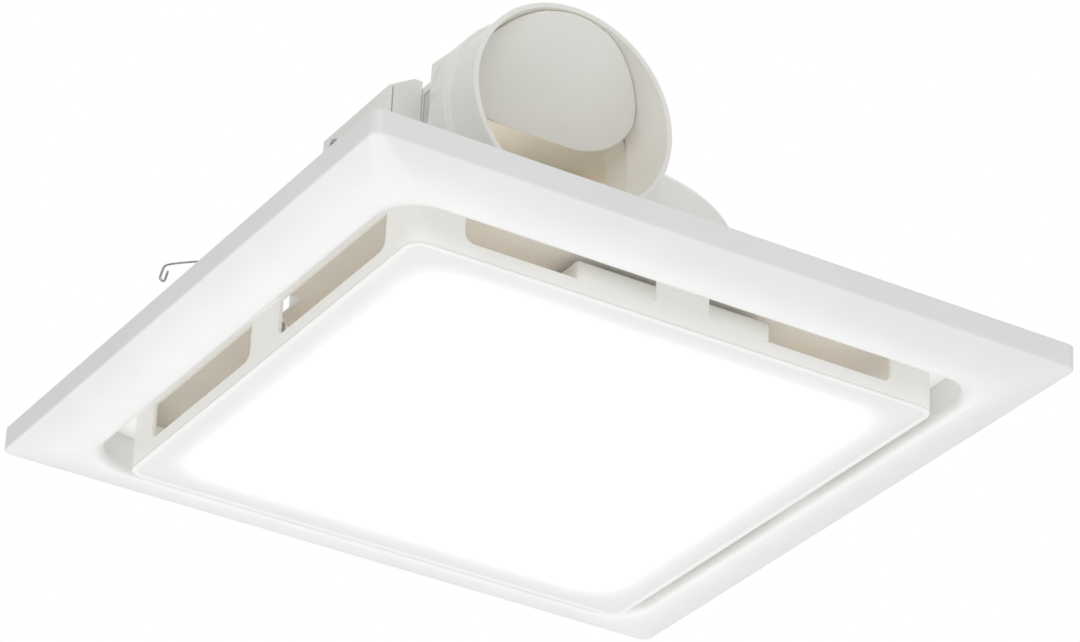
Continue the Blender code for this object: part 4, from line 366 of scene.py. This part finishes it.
def piece(name, patches, node, replaces=(), finish=None):
    """One closed mesh from its patches, welded, faced outwards and shaded smooth."""
    points, faces, offset = [], [], 0
    for patch_points, patch_faces in patches:
        points.append(patch_points)
        faces.append(patch_faces + offset)
        offset += len(patch_points)
    mesh = bpy.data.meshes.new(name)
    mesh.from_pydata(np.concatenate(points).tolist(), [], np.concatenate(faces).tolist())
    shell = bmesh.new()
    shell.from_mesh(mesh)
    bmesh.ops.remove_doubles(shell, verts=shell.verts, dist=WELD)
    bmesh.ops.dissolve_degenerate(shell, edges=shell.edges, dist=SLIVER)
    bmesh.ops.recalc_face_normals(shell, faces=shell.faces)
    shell.to_mesh(mesh)
    shell.free()
    mesh.shade_smooth()
    mesh.set_sharp_from_angle(angle=SMOOTH_ANGLE)
    made = bpy.data.objects.new(name, mesh)
    bpy.context.scene.collection.objects.link(made)
    mesh.materials.append(finish or FINISHES[SLOT_OF[node]])
    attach(made, BODY_OF[node])
    if replaces:
        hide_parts(*replaces)


def dressed(node, edge_mm=0.0, drawn=False, finish=None):
    """A copy of a CAD node, welded, its flat faces joined, its edges broken by a small round. A drawn wire is
    paired into quads and rounded by a subdivided surface instead."""
    mesh = frame["nodes"][node].data.copy()
    mesh.name = node + "_dressed"
    shell = bmesh.new()
    shell.from_mesh(mesh)
    bmesh.ops.remove_doubles(shell, verts=shell.verts, dist=WELD)
    if drawn:
        bmesh.ops.join_triangles(shell, faces=shell.faces, angle_face_threshold=PAIR_FOLD,
                                 angle_shape_threshold=PAIR_SHAPE)
    else:
        bmesh.ops.dissolve_limit(shell, angle_limit=FLAT_ANGLE, verts=shell.verts, edges=shell.edges)
    shell.to_mesh(mesh)
    shell.free()
    mesh.shade_smooth()
    mesh.set_sharp_from_angle(angle=SMOOTH_ANGLE)
    made = bpy.data.objects.new(node + "_dressed", mesh)
    bpy.context.scene.collection.objects.link(made)
    mesh.materials.clear()
    mesh.materials.append(finish or FINISHES[SLOT_OF[node]])
    if edge_mm:
        edge = made.modifiers.new("broken edges", "BEVEL")
        edge.width = edge_mm * MM
        edge.segments = 2
        edge.limit_method = "ANGLE"
        edge.angle_limit = BREAK_ANGLE
        edge.use_clamp_overlap = True
        edge.harden_normals = True
    if drawn:
        wire = made.modifiers.new("drawn wire", "SUBSURF")
        wire.levels = 2
        wire.render_levels = 2
    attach(made, BODY_OF[node])
    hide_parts(node)


def corner_turns(steps):
    """Angles round four corners, steps + 1 points to each, and the side of each point along both axes."""
    quarter = np.arange(4).repeat(steps + 1)
    turn = QUARTER * (quarter + np.tile(np.linspace(0, 1, steps + 1), 4))
    return turn, np.where((quarter == 0) | (quarter == 3), 1, -1), np.where(quarter < 2, 1, -1)


def square_ring(half, corner, height, steps):
    """Rounded squares: for arrays of half side, corner radius and height, rings of 4 (steps + 1) points. Each
    corner is a quarter circle about (half - corner, half - corner)."""
    sizes = (np.atleast_1d(np.asarray(value, float)) for value in (half, corner, height))
    half, corner, height = np.broadcast_arrays(*sizes)
    turn, side_x, side_y = corner_turns(steps)
    centre = (half - corner)[:, None]
    x = centre * side_x + corner[:, None] * np.cos(turn)
    y = centre * side_y + corner[:, None] * np.sin(turn)
    return np.stack([x, y, np.broadcast_to(height[:, None], x.shape)], -1) * MM


def arc(centre, radius, start, end, steps):
    """Points of a plane arc between two angles in degrees."""
    turn = np.radians(np.linspace(start, end, steps + 1))
    return np.stack([centre[0] + radius * np.cos(turn), centre[1] + radius * np.sin(turn)], -1)


def softened(profile, radius):
    """A closed profile with each corner drawn as a quadratic curve between points a radius away on its sides:
    (1 - s)^2 A + 2 s (1 - s) P + s^2 B."""
    profile = np.asarray(profile, float)
    ends = []
    for shift in (1, -1):
        side = np.roll(profile, shift, 0) - profile
        length = np.linalg.norm(side, axis=1)
        ends.append(profile + side / length[:, None] * np.minimum(radius, length * SOFT_SHARE)[:, None])
    start, end = ends
    share = np.linspace(0, 1, SOFT_STEPS + 1)[None, :, None]
    bend = 2 * share * (1 - share) * profile[:, None]
    curve = (1 - share) ** 2 * start[:, None] + bend + share ** 2 * end[:, None]
    return curve.reshape(-1, 2)


def turned(profile, place=(0, 0, 0), axis=2, segments=96):
    """A profile of (radius, height) turned about an axis: r cos t and r sin t on the other two axes."""
    profile = np.asarray(profile, float)
    turn = np.arange(segments) * FULL / segments
    grid = np.empty((len(profile), segments, 3))
    grid[..., (axis + 1) % 3] = profile[:, :1] * np.cos(turn)
    grid[..., (axis + 2) % 3] = profile[:, :1] * np.sin(turn)
    grid[..., axis] = profile[:, 1:]
    return (grid + place) * MM


# Pieces

FINISHES = make_materials()

# The surround: its square, its rim, its opening, and the angle where the rim's round meets the underside
FASCIA_HALF, RIM_HEIGHT, FASCIA_DEPTH, FASCIA_WALL = 180.0, 11.7, 19.7, 2.5
RIM_CORNER, RIM_ROUND, RIM_ROUND_TO = 5.0, 1.2, -62
OPENING_HALF, OPENING_CORNER, LIP_RADIUS, UPSTAND_TOP = 148.8, 21.6, 4.6, -1.4
UNDERSIDE_STEPS = 25


def fascia_skin(inset, lip_radius):
    """One skin of the fascia as (half side, height): a plain rim, its small round, an underside that falls as
    the first quarter of a sine, the lip's quarter circle, and the upstand."""
    rim, lip_half = FASCIA_HALF - inset, OPENING_HALF + inset
    low, centre = -FASCIA_DEPTH + inset, lip_half + lip_radius
    start_z = -RIM_HEIGHT + inset
    share = np.linspace(0, 1, UNDERSIDE_STEPS + 1)
    run = rim - RIM_ROUND - centre
    under = np.stack([rim - RIM_ROUND - run * share, start_z + (low - start_z) * np.sin(share * QUARTER)], -1)
    round_off = arc((rim - RIM_ROUND, start_z + RIM_ROUND), RIM_ROUND, 0, RIM_ROUND_TO, 4)[:-1]
    lip = arc((centre, low + lip_radius), lip_radius, 270, 180, 12)[1:]
    return np.concatenate([[[rim, 0.0]], round_off, under, lip, [[lip_half, UPSTAND_TOP]]])


def make_fascia():
    """The surround: both skins over rounded squares, whose corner grows from the rim's to the opening's."""
    outer = fascia_skin(0, LIP_RADIUS)
    inner = fascia_skin(FASCIA_WALL, LIP_RADIUS - FASCIA_WALL)[::-1]
    rings = []
    for skin, inset in ((outer, 0), (inner, FASCIA_WALL)):
        rim, lip = FASCIA_HALF - inset, OPENING_HALF + inset
        share = np.clip((rim - skin[:, 0]) / (rim - lip), 0, 1)
        corner = RIM_CORNER - inset + (OPENING_CORNER + inset - RIM_CORNER + inset) * share
        rings.append(square_ring(skin[:, 0], corner, skin[:, 1], 16))
    piece("fascia", [sheet(np.concatenate(rings), True, True)], "fascia_frame", replaces=("fascia_frame",))


# The duct: its middle line, the places of its back and mouth, its radii, the bead round it and its end ring
DUCT_X, DUCT_Z, DUCT_BACK, MOUTH = -64.0, 58.7, -108.3, -143.3
SPIGOT_OUTER, SPIGOT_BORE, BEAD_OUTER, END_RING = 50.1, 48.1, 53.2, 50.7
BEAD_FRONT, BEAD_SOFT, BEAD_BACK_GAP = -121.5, 1.2, 0.6
RING_SOFT, RING_BREAK, RING_LENGTH = 0.6, 0.2, 3.0
HOUSING_FOOT, HOUSING_TOP, HOUSING_WALL = 5.1, 78.3, 2.0
# The collar's square end: its corner, its rise over the housing and its inner half
SQUARE_CORNER, SQUARE_RISE, SQUARE_INNER_HALF = 2.0, 2.0, 48.0
# The bore's last rings, each by how much narrower it is and how far it is from the back
BORE_END = ((0.0, 2.9), (0.1, 2.6))
DUCT_SEGMENTS = 160
DUCT_TURN = FULL * (np.arange(DUCT_SEGMENTS) + 0.5) / DUCT_SEGMENTS


def round_ring(radius, place):
    """A round section of the duct at a place along Y: x = cx + r cos t, z = cz + r sin t."""
    x = DUCT_X + radius * np.cos(DUCT_TURN)
    return np.stack([x, np.full_like(x, place), DUCT_Z + radius * np.sin(DUCT_TURN)], -1)


def square_section(half, low, high, corner, place):
    """A square section of the duct along the same rays: each ray runs to the nearer side of a smaller
    rectangle, and then on by the corner radius."""
    across, up = np.cos(DUCT_TURN), np.sin(DUCT_TURN)
    stretch = np.minimum((half - corner) / np.abs(across), ((high - low) / 2 - corner) / np.abs(up))
    x = DUCT_X + across * (stretch + corner)
    return np.stack([x, np.full_like(x, place), (high + low) / 2 + up * (stretch + corner)], -1)


def make_collar():
    """The duct collar: round sections along a profile of (radius, place), and the housing's square end."""
    bead = arc((BEAD_OUTER - BEAD_SOFT, BEAD_FRONT + BEAD_SOFT), BEAD_SOFT, 0, -90, 6)
    cove = arc((SPIGOT_OUTER + BEAD_SOFT, BEAD_FRONT - BEAD_SOFT), BEAD_SOFT, 90, 180, 6)
    ring_back = MOUTH + RING_LENGTH
    swell = [(SPIGOT_OUTER, ring_back + RING_SOFT), (END_RING - RING_BREAK, ring_back + RING_BREAK),
             (END_RING, ring_back)]
    end = arc((END_RING - RING_SOFT, MOUTH + RING_SOFT), RING_SOFT, 0, -90, 5)
    inner = arc((SPIGOT_BORE + RING_SOFT, MOUTH + RING_SOFT), RING_SOFT, 270, 180, 5)
    bore = [(SPIGOT_BORE - narrower, DUCT_BACK - ahead) for narrower, ahead in BORE_END]
    profile = np.concatenate([[(BEAD_OUTER, DUCT_BACK - BEAD_BACK_GAP)], bead, cove, swell, end, inner, bore])
    rings = [square_section(BEAD_OUTER, HOUSING_FOOT, HOUSING_TOP + SQUARE_RISE, SQUARE_CORNER, DUCT_BACK)]
    rings += [round_ring(radius, place) for radius, place in profile]
    rings += [square_section(SQUARE_INNER_HALF, HOUSING_FOOT + HOUSING_WALL, HOUSING_TOP - HOUSING_WALL,
                             SQUARE_CORNER, place) for place in (DUCT_BACK - HOUSING_WALL, DUCT_BACK)]
    skin = sheet(np.array(rings) * MM, True, True)
    piece("duct_collar_fine", [skin], "duct_collar", replaces=("duct_collar",))


# The housing's plan round the fan's axis: the spiral, the outlet's walls and end, the rounds of its top edge
# outside and inside and the ring that holds their shading, the motor hole, and how far along the left wall
# the top is drawn in to that hole
SCROLL_START, SCROLL_GROWTH, SCROLL_POWER = 94.0, 20.0, 1.6
OUTLET_LEFT, OUTLET_RIGHT, OUTLET_END = -114.0, -14.0, -108.0
HOUSING_SOFT, HOUSING_HOLLOW_SOFT, EDGE_HOLD, MOTOR_HOLE, LEFT_BEND = 6.0, 3.0, 1.0, 41.0, -46.0
# The ears: their shares of the spiral, and the points of the soft edge as distances from the side and the top
EAR_SHARES, EAR_REACH, EAR_RADIUS, EAR_TOP, EAR_HOLE = (0.14, 0.42, 0.68, 0.93), 4.5, 6.2, 8.6, 1.9
EAR_EDGE = ((0.0, 0.4), (0.15, 0.1), (0.45, 0.0))
TONGUE = -math.acos(OUTLET_RIGHT / SCROLL_START)
# Points along the skins: each side of the outlet, the turn at the tongue, the spiral, the left wall's bend
OUTLET_POINTS, FAN_POINTS, SPIRAL_POINTS, BEND_POINTS = 7, 12, 240, 60
HOLE_START = OUTLET_POINTS + FAN_POINTS - 1
HOLE_POINTS = slice(HOLE_START, HOLE_START + SPIRAL_POINTS + BEND_POINTS + 1)


def scroll_plan(share, reach_by):
    """The scroll's spiral: r = r0 + g s^1.6 over the turn from the tongue to the outlet's left wall."""
    angle = TONGUE + (math.pi - TONGUE) * share
    reach = SCROLL_START + SCROLL_GROWTH * share ** SCROLL_POWER + reach_by
    return np.stack([reach * np.cos(angle), reach * np.sin(angle)], -1)


def housing_skin(skin):
    """One skin of the housing. Each row of (inset, height) follows the wall from the outlet's right end past
    the tongue, round the spiral and down the left wall. The last row is the spine that the top is drawn in
    to: the duct's middle line, a slant to the motor hole, the hole's circle, and the same way back."""
    rise, fan = np.linspace(0, 1, OUTLET_POINTS), np.linspace(0, 1, FAN_POINTS + 1)[1:]
    share, down = np.linspace(0, 1, SPIRAL_POINTS + 1)[1:], np.linspace(0, 1, BEND_POINTS + 1)[1:]
    foot_y = SCROLL_START * math.sin(TONGUE)
    left_y = np.concatenate([LEFT_BEND * down, LEFT_BEND + (foot_y - LEFT_BEND) * fan,
                             foot_y + (OUTLET_END - foot_y) * rise[1:]])
    rows = []
    for inset, height in skin:
        corner = np.array([OUTLET_RIGHT - inset, (SCROLL_START - inset) * math.sin(TONGUE)])
        right = np.stack([np.full_like(rise, corner[0]), OUTLET_END + rise * (corner[1] - OUTLET_END)], -1)
        left = np.stack([np.full_like(left_y, OUTLET_LEFT + inset), left_y], -1)
        turn = np.repeat(corner[None], FAN_POINTS, 0)
        plan = np.concatenate([right, turn, scroll_plan(share, -inset), left])
        rows.append(np.column_stack([plan, np.full(len(plan), height)]))
    middle = np.stack([np.full_like(rise, DUCT_X), OUTLET_END + rise * (foot_y - OUTLET_END)], -1)
    angle = np.concatenate([TONGUE + (math.pi - TONGUE) * share, math.pi + (math.pi + TONGUE) * down])
    meet = MOTOR_HOLE * np.array([math.cos(TONGUE), math.sin(TONGUE)])
    slant = middle[-1] + fan[:, None] * (meet - middle[-1])
    hole = MOTOR_HOLE * np.stack([np.cos(angle), np.sin(angle)], -1)
    spine = np.concatenate([middle, slant, hole, slant[-2::-1], middle[::-1]])
    rows.append(np.column_stack([spine, np.full(len(spine), skin[-1][1])]))
    return np.array(rows)


def make_housing():
    """The scroll housing: an outer and an inner skin over the same plan, joined under the wall, at the
    outlet's end and round the motor hole, with four screw ears."""
    ceiling = HOUSING_TOP - HOUSING_WALL
    edge = arc((HOUSING_SOFT, HOUSING_TOP - HOUSING_SOFT), HOUSING_SOFT, 180, 90, 12)
    inner_middle = HOUSING_WALL + HOUSING_HOLLOW_SOFT
    inner_edge = arc((inner_middle, ceiling - HOUSING_HOLLOW_SOFT), HOUSING_HOLLOW_SOFT, 180, 90, 12)
    outer = housing_skin([(0, HOUSING_FOOT), *edge, (HOUSING_SOFT + EDGE_HOLD, HOUSING_TOP)])
    inner = housing_skin([(HOUSING_WALL, HOUSING_FOOT), *inner_edge, (inner_middle + EDGE_HOLD, ceiling)])
    seams = [(outer[0], inner[0]), (outer[-1, HOLE_POINTS], inner[-1, HOLE_POINTS]),
             (outer[:, 0], inner[:, 0]), (outer[:, -1], inner[:, -1])]
    patches = [sheet(grid * MM) for grid in (outer, inner, *map(np.array, seams))]
    for x, y in scroll_plan(np.array(EAR_SHARES), EAR_REACH):
        ear = [(EAR_HOLE, HOUSING_FOOT), (EAR_RADIUS, HOUSING_FOOT),
               *((EAR_RADIUS - inward, EAR_TOP - down) for inward, down in EAR_EDGE), (EAR_HOLE, EAR_TOP)]
        patches.append(sheet(turned(ear, (x, y, 0), segments=48), True, True))
    piece("scroll_housing_fine", patches, "scroll_housing", replaces=("scroll_housing",))


# The flap: its pin's place, its lean at rest and its swing, its thickness and sleeve, and its outline, front
# edge above the pin and rear edge below
FLAP_PIVOT, FLAP_LEAN, FLAP_SWING = (DUCT_X, -124.7, 83.9), math.radians(36), math.radians(24)
FLAP_THICKNESS, FLAP_SOFT, FLAP_BORE, FLAP_SLEEVE, FLAP_SLEEVE_HALF = 1.6, 0.45, 1.5, 2.7, 36.8
FLAP_FRONT, FLAP_REAR, FLAP_BULGE, FLAP_GAP = -26.0, 28.3, 2.4, 0.3
FLAP_CORNER, FLAP_LARGEST_HALF = (26.0, 20.0), 43.6
FLAP_FRONT_STEPS, FLAP_SIDE_STEPS, FLAP_CORNER_STEPS = 13, 26, 19


def flap_half(along):
    """Half the flap's width beside the bore: the smaller of the chords sqrt(R^2 - h^2) at its height as it
    rests and as it is fully swung, less a small gap."""
    chords = []
    rise, behind = FLAP_PIVOT[2] - DUCT_Z, FLAP_SLEEVE - FLAP_THICKNESS
    for lean in (FLAP_LEAN, FLAP_LEAN + FLAP_SWING):
        lift = rise - along * math.cos(lean) - behind * math.sin(lean)
        chords.append(np.sqrt(SPIGOT_BORE ** 2 - lift ** 2))
    return np.minimum(np.minimum(*chords) - FLAP_GAP, FLAP_LARGEST_HALF)


def make_flap():
    """The damper flap: an outline with a bowed front edge and elliptic rear corners, rounded over its
    thickness, with a sleeve round the pin. All of it is turned back about the pin by its lean."""
    corner = FLAP_REAR - FLAP_CORNER[1]
    across = np.linspace(0, 1, FLAP_FRONT_STEPS + 1)[:-1] * flap_half(FLAP_FRONT)
    bow = FLAP_FRONT - FLAP_BULGE * (1 - (across / across[-1]) ** 2).clip(0, 1)
    side = np.linspace(FLAP_FRONT, corner, FLAP_SIDE_STEPS + 1)[:-1]
    turn = np.linspace(0, QUARTER, FLAP_CORNER_STEPS + 1)
    centre = flap_half(corner) - FLAP_CORNER[0]
    right = np.concatenate([np.stack([across, bow], -1), np.stack([flap_half(side), side], -1),
                            np.stack([centre + FLAP_CORNER[0] * np.cos(turn),
                                      corner + FLAP_CORNER[1] * np.sin(turn)], -1)])
    outline = np.concatenate([right, right[:0:-1] * (-1, 1)])
    ahead = np.roll(outline, -1, 0) - np.roll(outline, 1, 0)
    inward = np.stack([-ahead[:, 1], ahead[:, 0]], -1) / np.linalg.norm(ahead, axis=1)[:, None]
    edge = np.concatenate([arc((FLAP_SOFT, FLAP_SOFT), FLAP_SOFT, 270, 180, 3),
                           arc((FLAP_SOFT, FLAP_THICKNESS - FLAP_SOFT), FLAP_SOFT, 180, 90, 3)])
    x, y, z = FLAP_PIVOT
    rings = []
    for inset, depth in edge:
        plan = outline + inward * inset
        face = np.full(len(plan), y - FLAP_SLEEVE + depth)
        rings.append(np.stack([x + plan[:, 0], face, z - plan[:, 1]], -1))
    middles = [(x, ring[0, 1], z) for ring in (rings[0], rings[-1])]
    sleeve = [(FLAP_BORE, -FLAP_SLEEVE_HALF), (FLAP_SLEEVE, -FLAP_SLEEVE_HALF),
              (FLAP_SLEEVE, FLAP_SLEEVE_HALF), (FLAP_BORE, FLAP_SLEEVE_HALF)]
    patches = []
    for points, faces in (capped(np.array(rings), middles),
                          sheet(turned(sleeve, FLAP_PIVOT, 0, 40) / MM, True, True)):
        ahead, above = points[:, 1] - y, points[:, 2] - z
        leaned = np.stack([points[:, 0], y + ahead * math.cos(FLAP_LEAN) - above * math.sin(FLAP_LEAN),
                           z + ahead * math.sin(FLAP_LEAN) + above * math.cos(FLAP_LEAN)], -1)
        patches.append((leaned * MM, faces))
    piece("damper_flap_fine", patches, "damper_flap", replaces=("damper_flap",))


# The bell mouth's rounds and flange, the motor's plate, and the lit panel
BELL_MIDDLE, BELL_TOP, BELL_FACE, BELL_BACK, BELL_FLANGE = 76.0, 12.5, 12.0, 10.5, 82.0
PLATE_HOLE, PLATE_RADIUS, PLATE_LOW, PLATE_HIGH, PLATE_SOFT = 10.0, 53.0, 80.7, 82.2, 0.4
PANEL_LOW, PANEL_HIGH, PANEL_HALF, PANEL_CORNER = -27.4, -25.4, 133.0, 6.0
PANEL_SOFT, PANEL_BACK_SOFT = 0.7, 0.3
RING_SEGMENTS = 180


def make_inlet():
    """The bell mouth: a quarter-round throat turned about the fan's axis, with a flat flange."""
    face = arc((BELL_MIDDLE, BELL_TOP), BELL_FACE, 270, 180, 18)
    behind = arc((BELL_MIDDLE, BELL_TOP), BELL_BACK, 180, 270, 18)
    half = (BELL_FACE - BELL_BACK) / 2
    lip = arc((BELL_MIDDLE - BELL_FACE + half, BELL_TOP), half, 180, 0, 6)[1:-1]
    profile = np.concatenate([[(BELL_FLANGE, BELL_TOP - BELL_FACE)], face, lip, behind,
                              [(BELL_FLANGE, BELL_TOP - BELL_BACK)]])
    profile[:, 1] = np.minimum(profile[:, 1], BELL_TOP)
    piece("inlet_ring_fine", [sheet(turned(profile, segments=RING_SEGMENTS), True, True)], "inlet_ring",
          replaces=("inlet_ring",))


def make_motor_plate():
    """The motor's top plate: a turned ring with broken edges."""
    profile = softened([(PLATE_HOLE, PLATE_LOW), (PLATE_RADIUS, PLATE_LOW), (PLATE_RADIUS, PLATE_HIGH),
                        (PLATE_HOLE, PLATE_HIGH)], PLATE_SOFT)
    piece("motor_plate_fine", [sheet(turned(profile, segments=RING_SEGMENTS), True, True)], "motor_plate",
          replaces=("motor_plate",))


def make_diffuser():
    """The opal panel: a rounded square plate with soft edges."""
    front = arc((PANEL_HALF - PANEL_SOFT, PANEL_LOW + PANEL_SOFT), PANEL_SOFT, 270, 360, 4)
    back = arc((PANEL_HALF - PANEL_BACK_SOFT, PANEL_HIGH - PANEL_BACK_SOFT), PANEL_BACK_SOFT, 0, 90, 2)
    half, height = np.concatenate([front, back]).T
    rings = square_ring(half, PANEL_CORNER - (PANEL_HALF - half), height, 12)
    piece("diffuser_fine", [capped(rings)], "diffuser", replaces=("diffuser",))


# Screws and bolts. The head's flat and crown as shares of its height; the cross recess as shares of the
# head's radius, and its depth as a share of the height
HEAD_FLAT, HEAD_CROWN, HEAD_STEPS = 0.72, 0.28, 29
CROSS_REACH, CROSS_HALF, CROSS_END_SLOPE, CROSS_SIDE_SLOPE, CROSS_DEPTH = 0.55, 0.13, 0.12, 0.05, 0.5
# The thread: its pitch, depth and point as shares of the shank's radius, and the plain share of its length
PITCH_SHARE, LEAST_PITCH, TOOTH_SHARE, PLAIN_SHARE = 0.55, 0.4, 0.14, 0.08
POINT_LENGTH, POINT_SHARE = 1.2, 0.35
SCREW_SEGMENTS, SHANK_STEPS = 72, 39
# How a node is read: points this far out belong to the head, and this near the tip to the shank
HEAD_SHARE, TIP_BAND = 0.97, 0.2


def cross_arm(along, across):
    """How deep one arm of a head's cross recess is, 0 to 1, with sloped sides and ends."""
    sides = np.clip((CROSS_HALF - np.abs(across)) / CROSS_SIDE_SLOPE, 0, 1)
    return sides * np.clip((CROSS_REACH - np.abs(along)) / CROSS_END_SLOPE, 0, 1)


def fastener(node, axis=2):
    """A screw or bolt over its CAD node: a crowned head with a cross recess, and a threaded shank. Over the
    head z = H (a + b sqrt(1 - (r/R)^2)) less the recess. The thread's radius is a saw-tooth of height and
    turn."""
    points = np.array([v.co[:] for v in frame["nodes"][node].data.vertices]) / MM
    points += np.array(frame["nodes"][node].matrix_world.translation) / MM
    low, high = points.min(0), points.max(0)
    middle = (low + high) / 2
    others = [(axis + 1) % 3, (axis + 2) % 3]
    reach = np.linalg.norm(points[:, others] - middle[others], axis=1)
    head = reach.max()
    wide = points[reach > head * HEAD_SHARE, axis]
    up = 1 if wide.mean() > middle[axis] else -1
    seat = wide.min() if up > 0 else wide.max()
    crown, tip = (high[axis], low[axis]) if up > 0 else (low[axis], high[axis])
    shank = reach[np.abs(points[:, axis] - tip) < TIP_BAND].max()
    tall, length = abs(crown - seat), abs(seat - tip)
    turn = np.arange(SCREW_SEGMENTS) * FULL / SCREW_SEGMENTS
    whole = np.ones((1, SCREW_SEGMENTS))
    share = np.linspace(0, 1, HEAD_STEPS + 1)[:, None]
    x, y = share * np.cos(turn), share * np.sin(turn)
    crowned = HEAD_FLAT + HEAD_CROWN * np.sqrt(np.clip(1 - share ** 2, 0, 1))
    height = tall * (crowned - CROSS_DEPTH * np.maximum(cross_arm(x, y), cross_arm(y, x)))
    rows = np.linspace(0, 1, SHANK_STEPS + 1)[:, None]
    pitch = max(shank * PITCH_SHARE, LEAST_PITCH)
    tooth = np.abs(((rows * length / pitch - turn / FULL) % 1) - 0.5) * 2
    taper = np.clip((1 - rows) * length / (shank * POINT_LENGTH), POINT_SHARE, 1)
    thread = shank * taper * (1 - TOOTH_SHARE * tooth * (rows > PLAIN_SHARE))
    rims = [(head * share * whole, height), (head * whole, 0 * whole), (thread, -rows * length * whole),
            (0 * whole, -length * whole)]
    radius, height = (np.concatenate(part) for part in zip(*rims))
    grid = np.empty((*radius.shape, 3))
    grid[..., others[0]] = middle[others[0]] + radius * np.cos(turn)
    grid[..., others[1]] = middle[others[1]] + radius * np.sin(turn)
    grid[..., axis] = seat + up * height
    piece(node + "_fine", [sheet(grid * MM, False, True)], node, replaces=(node,))


# The rating plate: its edges, the softness of its corners, and its base against the left wall
LABEL_LOW, LABEL_HIGH, LABEL_FRONT, LABEL_BACK, LABEL_CORNER = 46.0, 70.5, -107.0, -97.2, 1.2
LABEL_BASE, LABEL_THICKNESS = -114.02, 0.16


def make_label():
    """A bare rating plate on the housing's left wall: thin film with rounded corners and a printed frame."""
    middle = ((LABEL_FRONT + LABEL_BACK) / 2, (LABEL_LOW + LABEL_HIGH) / 2)
    half = ((LABEL_BACK - LABEL_FRONT) / 2, (LABEL_HIGH - LABEL_LOW) / 2)
    turn, side_y, side_z = corner_turns(6)
    y = middle[0] + side_y * (half[0] - LABEL_CORNER) + LABEL_CORNER * np.cos(turn)
    z = middle[1] + side_z * (half[1] - LABEL_CORNER) + LABEL_CORNER * np.sin(turn)
    rings = [np.stack([np.full_like(y, LABEL_BASE - depth), y, z], -1) for depth in (0, LABEL_THICKNESS)]
    piece("rating_plate", [capped(np.array(rings) * MM)], "scroll_housing",
          finish=make_label_material(middle, half))


def make_camera():
    """The photograph's camera: below, in front and to the left, with a long lens."""
    data = bpy.data.cameras.new("photo camera")
    data.sensor_width = CAMERA_SENSOR
    data.sensor_fit = "HORIZONTAL"
    data.lens = CAMERA_LENS
    data.clip_end = CAMERA_FAR
    made = bpy.data.objects.new("photo_camera", data)
    columns = zip(CAMERA_RIGHT, CAMERA_UP, CAMERA_BACK, CAMERA_PLACE)
    made.matrix_world = Matrix([*columns, (0, 0, 0, 1)])
    bpy.context.scene.collection.objects.link(made)
    bpy.context.scene.camera = made


def area_light(name, place, aim, size, power, tint):
    """A rectangular soft light of a width and height that faces a point."""
    data = bpy.data.lights.new(name, "AREA")
    data.shape = "RECTANGLE"
    data.size, data.size_y = size
    data.energy = power
    data.color = linear(tint)[:3]
    made = bpy.data.objects.new(name, data)
    made.location = place
    made.rotation_euler = (Vector(place) - Vector(aim)).to_track_quat("Z", "Y").to_euler()
    made.visible_camera = False
    bpy.context.scene.collection.objects.link(made)


def make_studio():
    """A white surround, a pale floor far below, and the soft lights."""
    world = bpy.data.worlds.new("white surround")
    bpy.context.scene.world = world
    world.use_nodes = True
    tree = world.node_tree
    tree.nodes.clear()
    seen = add(tree, "ShaderNodeBackground", {"Color": linear(WHITE), "Strength": SURROUND_SEEN})
    lit = add(tree, "ShaderNodeBackground", {"Color": linear("#FCFDFF"), "Strength": SURROUND_LIGHT})
    straight = add(tree, "ShaderNodeLightPath").outputs["Is Camera Ray"]
    mix = add(tree, "ShaderNodeMixShader", {0: straight, 1: lit.outputs[0], 2: seen.outputs[0]})
    add(tree, "ShaderNodeOutputWorld", {"Surface": mix.outputs[0]})
    mesh = bpy.data.meshes.new("floor")
    side = FLOOR_SIDE / 2
    corners = ((-side, -side), (side, -side), (side, side), (-side, side))
    mesh.from_pydata([(x, y, -FLOOR_DROP) for x, y in corners], [], [(0, 1, 2, 3)])
    floor = bpy.data.objects.new("floor", mesh)
    made, tree, surface = blank("pale painted floor")
    place = add(tree, "ShaderNodeTexCoord").outputs["Object"]
    tree.links.new(mottled(tree, place, "#EDEDEB", "#F1F1EF", 700), surface.inputs["Base Color"])
    surface.inputs["Roughness"].default_value = 0.85
    mesh.materials.append(made)
    bpy.context.scene.collection.objects.link(floor)
    for row in LIGHTS:
        area_light(*row)
    bpy.context.scene.view_settings.view_transform = "Standard"


# Nodes drawn again from their own surfaces, and the round on the edges of some of the others
MAKERS = {"fascia_frame": make_fascia, "scroll_housing": make_housing, "duct_collar": make_collar,
          "damper_flap": make_flap, "inlet_ring": make_inlet, "motor_plate": make_motor_plate,
          "diffuser": make_diffuser}
EDGE_ROUNDS = {"light_tray": 0.25, "base_plate": 0.4, "gasket": 0.3, "junction_box": 0.4}


def main():
    """The camera and studio, and each piece in its turn."""
    make_camera()
    make_studio()
    for make in MAKERS.values():
        make()
    make_label()
    made_fine = {*MAKERS, "light_tray"}
    for node in frame["nodes"]:
        if "screw" in node or "motor_bolt" in node:
            fastener(node, 0 if node == "junction_cover_screw" else 2)
            made_fine.add(node)
    dressed("light_tray", EDGE_ROUNDS["light_tray"], finish=make_painted_glow_tray_material())
    for node in frame["nodes"]:
        if node not in made_fine:
            dressed(node, EDGE_ROUNDS.get(node, 0.0), drawn=node.startswith(("clip_spring", "pull_spring")))


main()
